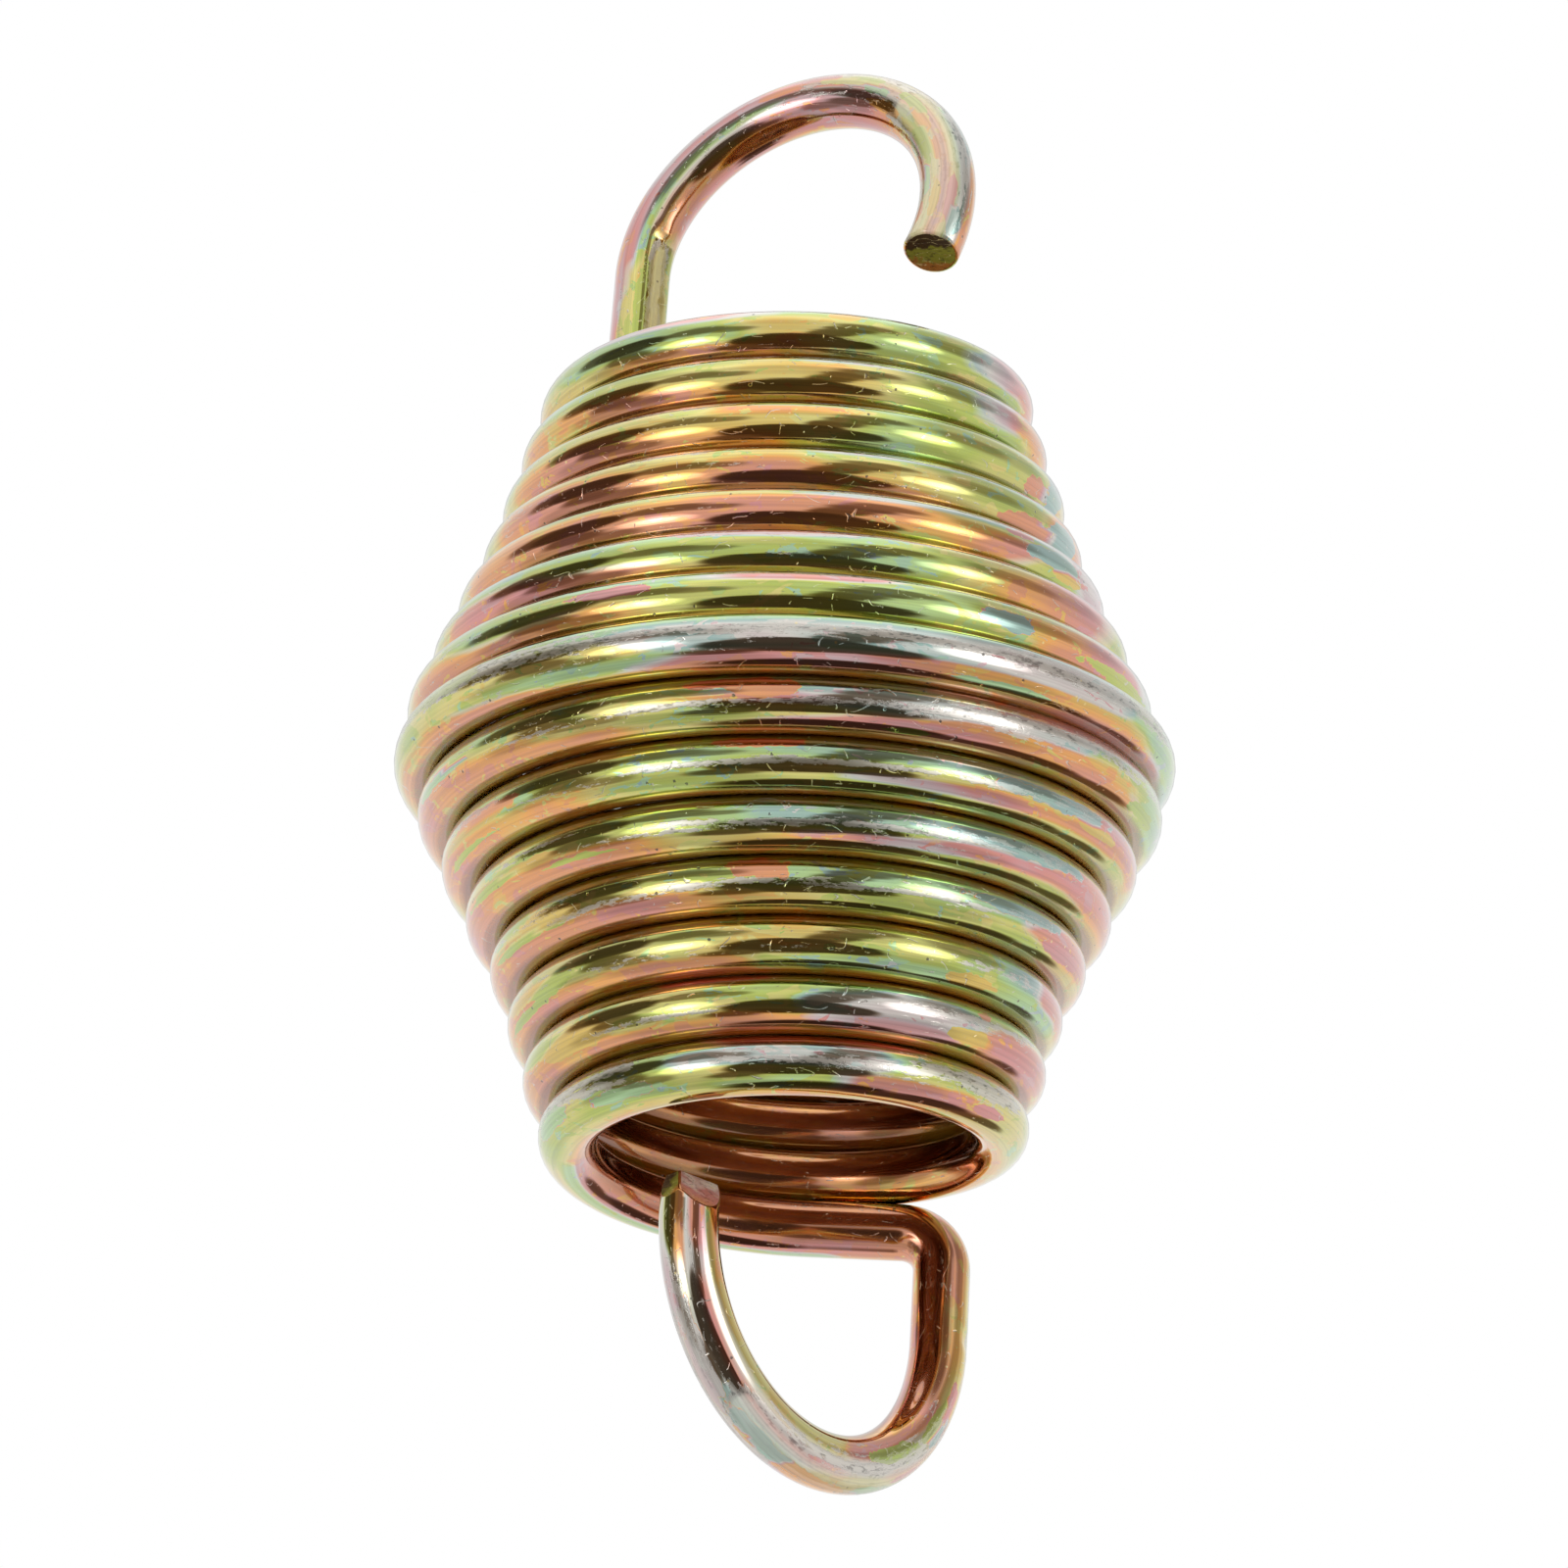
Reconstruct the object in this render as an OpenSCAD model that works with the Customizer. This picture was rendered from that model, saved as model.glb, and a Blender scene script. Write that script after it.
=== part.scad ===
// Barrel-shaped brake return spring.
// One round wire is close-wound into a barrel, small at both ends and widest in the middle.
// Each end of the wire leaves the coil through a tight bend, runs out as a straight leg
// and closes round into a hook. The wire is sheared off at both tips.
// Z is the axis of the coil. The origin is the seat of the upper hook, where a pin pulls.

/* [Wire] */
// Diameter of the wire
wire_d = 5.2; // [4.4:0.1:6]
// Air between neighbouring turns
turn_gap = 0.1; // [0.1:0.05:0.5]
// Chamfer that the shear leaves round each cut face
end_chamfer = 0.4; // [0.2:0.1:0.8]
// Slant of the cut face at the upper tip, in degrees
upper_cut = 18; // [0:1:30]
// Slant of the cut face at the lower tip, in degrees
lower_cut = 35; // [0:1:40]

/* [Barrel, diameters at the middle of the wire] */
// Diameter of the top turn
top_d = 40; // [37:0.5:43]
// Diameter where the upper cone starts to widen faster
shoulder_d = 49.6; // [46:0.2:54]
// Diameter of the widest turn
belly_d = 66.6; // [60:0.2:72]
// Diameter where the lower cone starts to narrow more slowly
hip_d = 45.8; // [42:0.2:50]
// Diameter of the bottom turn
bottom_d = 36.8; // [34:0.2:40]

/* [Barrel, number of turns] */
// Turns from the top turn to the shoulder
top_turns = 3; // [2:1:5]
// Turns from the shoulder to the widest turn
shoulder_turns = 4; // [3:1:6]
// Turns from the widest turn to the hip
belly_turns = 4.5; // [3.5:1:6.5]
// Turns from the hip to the bottom turn
hip_turns = 3; // [2:1:5]

/* [Set of the coil] */
// Sideways drift of the turns for each millimetre of height
side_drift = 0.03; // [0:0.005:0.06]
// Radius of the slight bow of the axis towards the front
bow_r = 870; // [600:10:2000]
// Part of a turn that the wire goes on past the top turn
top_lead = 0.64; // [0.6:0.01:0.7]
// Part of a turn over which that lead tucks in
tuck_turn = 0.44; // [0.35:0.01:0.55]
// How far the lead is tucked in where the upper hook starts
tuck = 4.1; // [3:0.1:4.5]
// Part of a turn that the wire goes on past the bottom turn
bottom_lead = 0.025; // [0:0.005:0.05]

/* [Upper hook] */
// Radius of the tight bend between the coil and the leg, at the middle of the wire
upper_bend_r = 4; // [3.6:0.1:6]
// Length of the straight leg
upper_leg = 9.7; // [6:0.1:14]
// Outward tilt of the leg in the plane of the hook, in degrees
upper_tilt = 6.5; // [0:0.1:12]
// Radius of the hook, at the middle of the wire
upper_hook_r = 16; // [13:0.1:19]
// Angle that the hook turns through, in degrees
upper_sweep = 205; // [185:1:215]
// Direction of the hook from its leg to its tip, seen from above, in degrees
upper_way = -28.7; // [-45:0.1:-15]
// Backward lean of the hook, in degrees
upper_lean = 14.1; // [0:0.1:20]

/* [Lower hook] */
// Straight run from the bottom turn to the bend
lower_run = 8.7; // [6:0.1:12]
// Radius of the tight bend between the run and the leg, at the middle of the wire
lower_bend_r = 4; // [3.6:0.1:6]
// Length of the straight leg
lower_leg = 6.9; // [5:0.1:12]
// Inward tilt of the leg in the plane of the hook, in degrees
lower_tilt = 7.8; // [0:0.1:12]
// Radius of the hook, at the middle of the wire
lower_hook_r = 16.9; // [14:0.1:19]
// Angle that the hook turns through, in degrees
lower_sweep = 188; // [170:1:195]
// Direction from the tip of the hook to its leg, seen from above, in degrees
lower_way = 48.2; // [35:0.1:60]
// Forward lean of the hook, in degrees
lower_lean = 6; // [0:0.1:12]

/* [Hidden] */

wire_r = wire_d / 2;
pitch = wire_d + turn_gap;
// Sides of the wire, and rings along one turn, one bend and one hook
wire_sides = 10;
turn_rings = 32;
bend_rings = 8;
hook_rings = 20;

// Turn numbers at the five diameters that shape the barrel
shoulder_at = top_turns;
belly_at = shoulder_at + shoulder_turns;
hip_at = belly_at + belly_turns;
bottom_at = hip_at + hip_turns;
coil_start = -top_lead;
coil_end = bottom_at + bottom_lead;

radius_table = [
    [0, top_d / 2],
    [shoulder_at, shoulder_d / 2],
    [belly_at, belly_d / 2],
    [hip_at, hip_d / 2],
    [bottom_at, bottom_d / 2]];

// Height of one turn on a cone: neighbouring turns lie one pitch apart along its slope
function climb(from_d, to_d, turns) = sqrt(pitch * pitch - pow((to_d - from_d) / 2 / turns, 2));
top_climb = climb(top_d, shoulder_d, top_turns);
shoulder_climb = climb(shoulder_d, belly_d, shoulder_turns);
belly_climb = climb(belly_d, hip_d, belly_turns);
hip_climb = climb(hip_d, bottom_d, hip_turns);
upper_cone_h = top_climb * top_turns + shoulder_climb * shoulder_turns;

// Height above the widest turn, at one turn before the top, at the five diameters
// and at one turn past the bottom
height_table = [
    [-1, upper_cone_h + top_climb],
    [0, upper_cone_h],
    [shoulder_at, shoulder_climb * shoulder_turns],
    [belly_at, 0],
    [hip_at, -belly_climb * belly_turns],
    [bottom_at, -belly_climb * belly_turns - hip_climb * hip_turns],
    [bottom_at + 1, -belly_climb * belly_turns - hip_climb * (hip_turns + 1)]];

function unit(v) = v / norm(v);
function last(list) = list[len(list) - 1];
function backwards(list) = [for (i = [len(list) - 1:-1:0]) list[i]];

// The lead past the top turn tucks in along a parabola
tuck_from = top_lead - tuck_turn;
function tucked(turn) = tuck * pow(max(0, -turn - tuck_from) / tuck_turn, 2);
function coil_r(turn) = lookup(turn, radius_table) - tucked(turn);

// Middle of the wire at a turn number. Whole numbers lie at the front, and the wire
// rises to the right. The turns drift sideways and tip forward along the bowed axis.
function coil_point(turn) =
    let (r = coil_r(turn), h = lookup(turn, height_table), a = -90 - 360 * turn)
    [r * cos(a) - side_drift * h, r * sin(a) - h * h / 2 / bow_r, h + r * sin(a) * h / bow_r];

coil_points = concat(
    [coil_point(coil_start)],
    [for (k = [ceil(coil_start * turn_rings + 0.5):floor(coil_end * turn_rings - 0.5)])
        coil_point(k / turn_rings)],
    [coil_point(coil_end)]);

// Direction in which the wire leaves each end of the coil
small_step = 0.001;
top_exit = unit(coil_point(coil_start) - coil_point(coil_start + small_step));
bottom_exit = unit(coil_point(coil_end) - coil_point(coil_end - small_step));

// Horizontal and upright direction in the plane of a hook
function across(way) = [cos(way), sin(way), 0];
function upright(way, lean) = [-sin(way) * sin(lean), cos(way) * sin(lean), cos(lean)];

// Arc of radius r that starts at p along d and turns by angle towards the direction side
function arc(p, d, side, r, angle, rings) =
    [for (k = [1:rings]) let (a = angle * k / rings) p + r * (sin(a) * d + (1 - cos(a)) * side)];

// Tight bend at p from the direction d into the direction leg_way
function bend(p, d, leg_way, r) =
    arc(p, d, unit(leg_way - d * (d * leg_way)), r, acos(d * leg_way), bend_rings);

// Upper hook: the leg goes up and outward, and the wire turns over towards the tip
upper_across = across(upper_way);
upper_upright = upright(upper_way, upper_lean);
upper_leg_way = upper_upright * cos(upper_tilt) - upper_across * sin(upper_tilt);
upper_turn_way = upper_across * cos(upper_tilt) + upper_upright * sin(upper_tilt);
upper_bend_points = bend(coil_point(coil_start), top_exit, upper_leg_way, upper_bend_r);
upper_leg_end = last(upper_bend_points) + upper_leg_way * upper_leg;
upper_loop = arc(upper_leg_end, upper_leg_way, upper_turn_way, upper_hook_r, upper_sweep, hook_rings);
upper_points = concat(upper_bend_points, [upper_leg_end], upper_loop);
upper_centre = upper_leg_end + upper_turn_way * upper_hook_r;
upper_tip_way = upper_leg_way * cos(upper_sweep) + upper_turn_way * sin(upper_sweep);

// Lower hook: a straight run leaves the bottom turn, the leg goes down and inward,
// and the wire turns up towards the tip
lower_across = across(lower_way);
lower_upright = upright(lower_way, lower_lean);
lower_leg_way = -lower_upright * cos(lower_tilt) - lower_across * sin(lower_tilt);
lower_turn_way = lower_upright * sin(lower_tilt) - lower_across * cos(lower_tilt);
lower_run_end = coil_point(coil_end) + bottom_exit * lower_run;
lower_bend_points = bend(lower_run_end, bottom_exit, lower_leg_way, lower_bend_r);
lower_leg_end = last(lower_bend_points) + lower_leg_way * lower_leg;
lower_loop = arc(lower_leg_end, lower_leg_way, lower_turn_way, lower_hook_r, lower_sweep, hook_rings);
lower_points = concat([lower_run_end], lower_bend_points, [lower_leg_end], lower_loop);
lower_tip_way = lower_leg_way * cos(lower_sweep) + lower_turn_way * sin(lower_sweep);

// Seat of the upper hook: the highest place on the inside of its loop
upper_seat = upper_centre + upper_upright * (upper_hook_r - wire_r);

// Middle of the whole wire, from the upper tip to the lower tip
wire_points = [for (p = concat(backwards(upper_points), coil_points, lower_points)) p - upper_seat];
point_count = len(wire_points);

// Direction of the wire at each point, and true directions at the two tips
wire_ways = [for (i = [0:point_count - 1])
    i == 0 ? -upper_tip_way :
    i == point_count - 1 ? lower_tip_way :
    unit(wire_points[i + 1] - wire_points[i - 1])];

// Side direction at each point, carried along the wire without twist
function carried(side, way) = unit(side - way * (side * way));
start_side = carried([0, 1, 0], wire_ways[0]);
wire_side_ways = [for (i = 0, side = start_side; i < point_count;
    i = i + 1, side = carried(side, wire_ways[min(i, point_count - 1)])) side];

// Ring of points round the wire. A slant shifts them along the wire, so that the ring
// faces the front by that angle.
front = [0, -1, 0];
function ring(p, way, side, r, slant) =
    let (third = cross(way, side), facing = carried(front, way))
    [for (k = [0:wire_sides - 1])
        let (a = 360 * k / wire_sides, out = r * (side * cos(a) + third * sin(a)))
        p + out - way * (out * facing) * tan(slant)];

// A cut face is a smaller ring at the tip, with a full ring behind its chamfer
upper_cut_ring = ring(
    wire_points[0], wire_ways[0], wire_side_ways[0], wire_r - end_chamfer, -upper_cut);
upper_rim_ring = ring(wire_points[0] + wire_ways[0] * end_chamfer,
    wire_ways[0], wire_side_ways[0], wire_r, -upper_cut);
lower_rim_ring = ring(last(wire_points) - last(wire_ways) * end_chamfer,
    last(wire_ways), last(wire_side_ways), wire_r, lower_cut);
lower_cut_ring = ring(
    last(wire_points), last(wire_ways), last(wire_side_ways), wire_r - end_chamfer, lower_cut);
rings = concat(
    [upper_cut_ring, upper_rim_ring],
    [for (i = [1:point_count - 2]) ring(wire_points[i], wire_ways[i], wire_side_ways[i], wire_r, 0)],
    [lower_rim_ring, lower_cut_ring]);

// Solid skin over a list of rings, with a flat cap at each end
module skin(rings) {
    sides = len(rings[0]);
    top = (len(rings) - 1) * sides;
    points = [for (one_ring = rings) each one_ring];
    walls = [for (i = [0:len(rings) - 2], k = [0:sides - 1])
        let (n = (k + 1) % sides, near = i * sides, far = near + sides)
        [far + k, far + n, near + n, near + k]];
    start_cap = [for (k = [0:sides - 1]) k];
    end_cap = [for (k = [sides - 1:-1:0]) top + k];
    polyhedron(points, concat([start_cap], walls, [end_cap]), convexity = 20);
}

// The whole spring: one wire, bent and plated
module spring_wire() {
    color("#b9b457") skin(rings);
}

spring_wire();
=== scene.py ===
import math

import bmesh
import bpy
from mathutils import Matrix, Vector


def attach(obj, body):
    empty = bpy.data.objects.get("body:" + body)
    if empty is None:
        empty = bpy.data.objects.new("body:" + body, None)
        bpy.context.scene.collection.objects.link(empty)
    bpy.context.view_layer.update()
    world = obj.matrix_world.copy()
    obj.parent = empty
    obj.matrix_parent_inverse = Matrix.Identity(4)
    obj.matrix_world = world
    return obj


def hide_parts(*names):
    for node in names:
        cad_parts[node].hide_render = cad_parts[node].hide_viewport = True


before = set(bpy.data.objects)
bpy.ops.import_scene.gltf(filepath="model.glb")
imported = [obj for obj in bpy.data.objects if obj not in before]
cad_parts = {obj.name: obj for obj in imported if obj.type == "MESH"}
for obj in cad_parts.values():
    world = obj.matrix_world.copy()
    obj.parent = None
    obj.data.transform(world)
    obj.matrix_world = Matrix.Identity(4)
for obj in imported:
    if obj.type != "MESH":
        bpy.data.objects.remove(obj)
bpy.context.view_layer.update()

bl_info = {
    "name": "Brake return spring",
    "version": (1, 0, 0),
    "blender": (4, 5, 0),
    "location": "3D View > Sidebar > Spring",
    "description": "Winds a barrel-shaped brake return spring with its two hooks and plates it",
    "category": "Add Mesh",
}


# Sizes and colours that a user would change

def length(name, description, default):
    return bpy.props.FloatProperty(
        name=name, description=description, default=default, precision=5, unit="LENGTH")


def angle(name, description, degrees):
    return bpy.props.FloatProperty(
        name=name, description=description, default=math.radians(degrees), unit="ROTATION")


def number(name, description, default):
    return bpy.props.FloatProperty(name=name, description=description, default=default)


def colour(name, description, red, green, blue):
    """A colour property. Its default is given as it shows on screen, from 0 to 255."""
    def linear(level):
        level /= 255
        return level / 12.92 if level <= 0.04045 else ((level + 0.055) / 1.055) ** 2.4
    return bpy.props.FloatVectorProperty(
        name=name, description=description, default=[linear(v) for v in (red, green, blue)],
        subtype="COLOR", size=3, min=0, max=1)


class SpringSizes(bpy.types.PropertyGroup):
    """The same named sizes as the solid model has"""
    wire_d: length("Wire", "Diameter of the wire", 0.0052)
    turn_gap: length("Gap", "Air between neighbouring turns", 0.0001)
    top_d: length("Top turn", "Diameter of the top turn at the middle of the wire", 0.040)
    shoulder_d: length("Shoulder", "Diameter where the upper cone widens faster", 0.0496)
    belly_d: length("Belly", "Diameter of the widest turn", 0.0666)
    hip_d: length("Hip", "Diameter where the lower cone narrows more slowly", 0.0458)
    bottom_d: length("Bottom turn", "Diameter of the bottom turn", 0.0368)
    top_turns: number("Top turns", "Turns from the top turn to the shoulder", 3)
    shoulder_turns: number("Shoulder turns", "Turns from the shoulder to the widest turn", 4)
    belly_turns: number("Belly turns", "Turns from the widest turn to the hip", 4.5)
    hip_turns: number("Hip turns", "Turns from the hip to the bottom turn", 3)
    side_drift: number("Side drift", "Sideways drift of the turns per unit of height", 0.03)
    bow_r: length("Bow", "Radius of the slight bow of the axis", 0.870)
    top_lead: number("Top lead", "Part of a turn that the wire goes on past the top turn", 0.64)
    tuck_turn: number("Tuck turn", "Part of a turn over which that lead tucks in", 0.44)
    tuck: length("Tuck", "How far the lead is tucked in where the upper hook starts", 0.0041)
    bottom_lead: number("Bottom lead", "Part of a turn past the bottom turn", 0.025)
    upper_bend_r: length("Upper bend", "Radius of the bend between coil and leg", 0.004)
    upper_leg: length("Upper leg", "Length of the straight leg", 0.0097)
    upper_tilt: angle("Upper tilt", "Outward tilt of the leg", 6.5)
    upper_hook_r: length("Upper hook", "Radius of the hook at the middle of the wire", 0.016)
    upper_sweep: angle("Upper sweep", "Angle that the hook turns through", 205)
    upper_way: angle("Upper way", "Direction of the hook from its leg to its tip", -28.7)
    upper_lean: angle("Upper lean", "Backward lean of the hook", 14.1)
    lower_run: length("Lower run", "Straight run from the bottom turn to the bend", 0.0087)
    lower_bend_r: length("Lower bend", "Radius of the bend between run and leg", 0.004)
    lower_leg: length("Lower leg", "Length of the straight leg", 0.0069)
    lower_tilt: angle("Lower tilt", "Inward tilt of the leg", 7.8)
    lower_hook_r: length("Lower hook", "Radius of the hook at the middle of the wire", 0.0169)
    lower_sweep: angle("Lower sweep", "Angle that the hook turns through", 188)
    lower_way: angle("Lower way", "Direction from the tip of the hook to its leg", 48.2)
    lower_lean: angle("Lower lean", "Forward lean of the hook", 6)


class PlatingColours(bpy.types.PropertyGroup):
    """Colours of the zinc plating, from the thinnest film to the thickest, of its wear, and of the
    painted shade and highlight
    """
    silver: colour("Silver", "Plating scuffed down to bare zinc", 206, 200, 191)
    straw: colour("Straw", "Pale yellow film", 213, 200, 114)
    leaf: colour("Leaf", "Yellow-green film", 175, 188, 76)
    gold: colour("Gold", "Golden film", 214, 180, 80)
    amber: colour("Amber", "Orange film", 232, 162, 72)
    salmon: colour("Salmon", "Orange-pink film", 217, 143, 98)
    rose: colour("Rose", "Pink film", 208, 134, 130)
    lilac: colour("Lilac", "Grey-lilac film", 194, 168, 170)
    teal: colour("Teal", "Grey-blue film", 146, 176, 170)
    mint: colour("Mint", "Pale green film", 166, 200, 140)
    # Copper is painted shade: a deep copper-brown put inside the coil and on the hooks to darken them.
    copper: colour("Copper", "Thick brown film inside the coil", 178, 112, 76)
    pit: colour("Pit", "Dark pits and specks", 46, 34, 22)
    speck: colour("Speck", "Bright specks where the film flaked", 236, 216, 150)
    # Bloom is a painted highlight: a pale colour mixed in where the wire is brushed dull, and on the back
    # of the polished cut face.
    painted_highlight: colour("Bloom", "Pale bloom on brushed and polished places", 250, 242, 222)
    # Crevice is painted shade: how far the colour darkens in the groove between two turns, where shade
    # falls.
    painted_groove_shade: colour("Crevice", "How far the film between the turns darkens", 196, 162, 116)
    sheared: colour("Sheared", "Olive film on the cut faces", 140, 138, 50)
    torn: colour("Torn", "Brown film on the torn part of the cut faces", 66, 48, 28)
    rust: colour("Rust", "Orange film at the lip of the upper cut face", 176, 112, 48)


class StudioSettings(bpy.types.PropertyGroup):
    """Camera and floor"""
    aim: bpy.props.FloatVectorProperty(
        name="Aim", description="Point at the middle of the picture", size=3, subtype="TRANSLATION",
        default=(-0.000116, -0.00445, -0.068146), unit="LENGTH", precision=6)
    distance: length("Distance", "From the camera to the aim", 0.530)
    rise: angle("Rise", "Height of the camera above the aim, seen from the aim", -19.58)
    roll: angle("Roll", "Turn of the camera about its line of sight", 2.602)
    lens: bpy.props.FloatProperty(
        name="Lens", description="Focal length", default=134.38, unit="CAMERA")
    floor_drop: length("Floor drop", "Height of the floor, with 0 at the seat of the upper hook", -0.30)
    floor: colour("Floor", "Colour of the floor", 236, 236, 236)


# How the plating took. The film is thinnest at leaf and passes through these colours as it thickens.
# A run of "bare" thins the film until the zinc shows through.
FILM = {"leaf": 0.0, "straw": 0.1, "gold": 0.19, "amber": 0.26, "salmon": 0.34, "rose": 0.45,
        "lilac": 0.56, "silver": 0.66, "teal": 0.78, "mint": 0.9}

# The film where no run reaches: degrees round the wire, up from outward, and the film there.
PLAIN_FILM_AT = (-180, -90, -40, 0, 60, 100, 180)
PLAIN_FILM = (0.3, 0.24, 0.12, 0.03, -0.04, 0.1, 0.3)

# Soft runs of film along the coil, by turn, with 0 at the top: where the run starts and ends, in
# parts of a turn to the left of the front; where it lies round the wire, in degrees up from
# outward, with its spread; and the film.
FILM_RUNS = {
    0: ((0.02, 0.13, 60, 20, "lilac"), (0.03, 0.08, 58, 14, "salmon"), (-0.12, 0.02, 55, 20, "mint"),
        (0.04, 0.16, -5, 16, "mint"), (0.01, 0.12, -38, 14, "salmon"), (0.13, 0.2, -35, 18, "gold"),
        (-0.03, 0.02, -5, 40, "gold"), (-0.12, -0.04, -10, 30, "leaf"), (-0.17, -0.13, -5, 25, "lilac"),
        (-0.18, -0.14, -40, 16, "leaf"), (-0.24, -0.18, 10, 35, "rose")),
    1: ((0.02, 0.18, 55, 18, "leaf"), (0.06, 0.19, -30, 22, "salmon"), (0.01, 0.07, -5, 16, "straw"),
        (-0.06, 0.01, -10, 35, "gold"), (-0.16, -0.02, 55, 18, "silver"),
        (-0.12, -0.08, -15, 30, "leaf"), (-0.15, -0.13, -5, 25, "lilac"),
        (-0.17, -0.15, -35, 16, "leaf"), (-0.24, -0.18, 0, 35, "salmon")),
    2: ((0.05, 0.14, 55, 16, "straw"), (0.03, 0.18, -30, 24, "salmon"), (-0.02, 0.08, -5, 16, "gold"),
        (-0.02, 0.02, 25, 10, "salmon"), (-0.14, 0, 55, 16, "mint"), (-0.16, -0.05, -12, 35, "leaf")),
    3: ((-0.01, 0.12, 55, 16, "gold"), (0, 0.17, -20, 30, "salmon"), (-0.16, -0.02, 55, 14, "silver"),
        (-0.08, -0.04, 0, 18, "gold"), (-0.08, -0.02, -42, 14, "salmon"),
        (-0.13, -0.09, -12, 30, "leaf"), (-0.24, -0.19, -10, 35, "salmon")),
    4: ((0, 0.1, 55, 14, "leaf"), (0, 0.18, -15, 32, "salmon"), (-0.16, -0.02, 52, 14, "silver"),
        (-0.06, -0.02, 0, 20, "salmon"), (-0.09, -0.07, -5, 20, "gold"), (-0.12, -0.1, -15, 20, "rose"),
        (-0.16, -0.14, -30, 18, "leaf"), (-0.24, -0.18, 5, 35, "lilac")),
    5: ((0.05, 0.16, 52, 16, "mint"), (-0.01, 0.04, 50, 14, "lilac"), (-0.02, 0.1, -3, 16, "leaf"),
        (0.08, 0.17, -22, 20, "rose"), (-0.02, 0.08, -42, 12, "gold"), (-0.07, -0.03, 0, 25, "mint"),
        (-0.1, -0.08, 0, 25, "gold"), (-0.14, -0.11, -10, 25, "salmon"), (-0.18, -0.15, 0, 35, "rose"),
        (-0.24, -0.19, -10, 35, "leaf")),
    6: ((0.04, 0.15, 50, 16, "mint"), (-0.02, 0.03, 48, 16, "rose"), (-0.02, 0.06, -5, 18, "leaf"),
        (0.07, 0.1, -12, 16, "salmon"), (0.1, 0.14, -5, 18, "mint"), (0.12, 0.2, -35, 22, "salmon"),
        (-0.09, -0.04, -5, 22, "mint"), (-0.13, -0.1, 0, 18, "gold"), (-0.2, -0.13, -5, 25, "rose"),
        (-0.24, -0.21, 0, 35, "mint")),
    7: ((0.02, 0.14, 48, 14, "mint"), (-0.14, 0.05, 5, 22, "silver"), (0.08, 0.09, -14, 12, "gold"),
        (0.06, 0.14, -46, 11, "mint"), (0.13, 0.24, -62, 16, "salmon"), (-0.04, 0.05, -50, 11, "rose"),
        (-0.17, -0.06, -42, 12, "amber"), (-0.2, -0.14, -62, 14, "rose"),
        (-0.24, -0.2, -25, 35, "mint"), (0.19, 0.25, -10, 30, "leaf")),
    8: ((0.05, 0.2, 22, 16, "leaf"), (0.05, 0.1, -8, 10, "straw"), (0, 0.04, -6, 8, "rose"),
        (0, 0.1, -38, 9, "leaf"), (0.09, 0.22, -50, 17, "salmon"), (-0.04, 0.02, 26, 14, "teal"),
        (-0.12, -0.03, 2, 18, "silver"), (-0.08, -0.01, -50, 11, "rose"),
        (-0.17, -0.09, -26, 8, "amber"), (-0.19, -0.1, -48, 12, "salmon"),
        (-0.24, -0.2, -30, 30, "mint"), (-0.18, -0.08, 35, 14, "lilac")),
    9: ((0.03, 0.2, 8, 24, "leaf"), (0.11, 0.22, -52, 17, "salmon"), (-0.04, 0.1, -50, 12, "leaf"),
        (-0.1, 0.01, 20, 16, "teal"), (-0.1, -0.04, -40, 8, "lilac"), (-0.18, -0.1, -36, 10, "salmon"),
        (-0.2, -0.08, -62, 14, "leaf"), (-0.24, -0.19, -10, 30, "rose")),
    10: ((0.04, 0.2, 8, 24, "leaf"), (0.08, 0.22, -50, 18, "salmon"), (-0.02, 0.07, -52, 12, "gold"),
        (-0.12, 0, 10, 18, "teal"), (-0.07, -0.02, -42, 8, "lilac"), (-0.16, -0.06, -60, 13, "leaf"),
        (-0.14, -0.1, -28, 10, "rose"), (-0.24, -0.18, -20, 25, "rose")),
    11: ((0.03, 0.2, 8, 24, "leaf"), (0.06, 0.2, -50, 18, "salmon"), (-0.01, 0.05, -48, 10, "gold"),
        (-0.1, 0, 10, 18, "mint"), (-0.15, -0.11, 10, 18, "teal"), (-0.15, -0.02, -55, 15, "leaf"),
        (-0.22, -0.17, -15, 20, "rose")),
    12: ((0.05, 0.2, 0, 28, "leaf"), (0.05, 0.18, -52, 16, "salmon"), (-0.12, 0.04, 5, 20, "straw"),
        (-0.1, -0.01, -48, 12, "mint"), (-0.16, -0.12, 5, 20, "teal"), (-0.2, -0.14, -50, 16, "mint"),
        (-0.24, -0.2, 0, 30, "rose")),
    13: ((0.07, 0.2, -5, 28, "straw"), (0.02, 0.12, -50, 14, "salmon"), (0.03, 0.06, 50, 12, "rose"),
        (-0.03, 0.03, 22, 14, "leaf"), (-0.1, -0.03, 0, 20, "silver"), (-0.09, -0.04, -45, 10, "lilac"),
        (-0.23, -0.16, -30, 25, "rose")),
    14: ((-0.1, 0.04, 48, 12, "rose"), (0.06, 0.12, 40, 14, "leaf"), (0.03, 0.1, -32, 14, "straw"),
        (0.09, 0.14, -38, 12, "mint"), (-0.03, 0.03, -44, 11, "mint"), (-0.13, -0.05, -45, 14, "rose"),
        (-0.14, -0.11, 40, 14, "leaf"), (0.14, 0.24, -45, 30, "leaf"), (-0.05, 0.05, 5, 14, "silver"),
        (-0.24, -0.19, -40, 30, "straw")),
}

# Runs that several turns have: first and last turn, and then the same.
SHARED_RUNS = (
    (8, 13, 0.19, 0.26, -35, 30, "salmon"), (8, 13, 0.2, 0.26, 15, 20, "leaf"),
)

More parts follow.
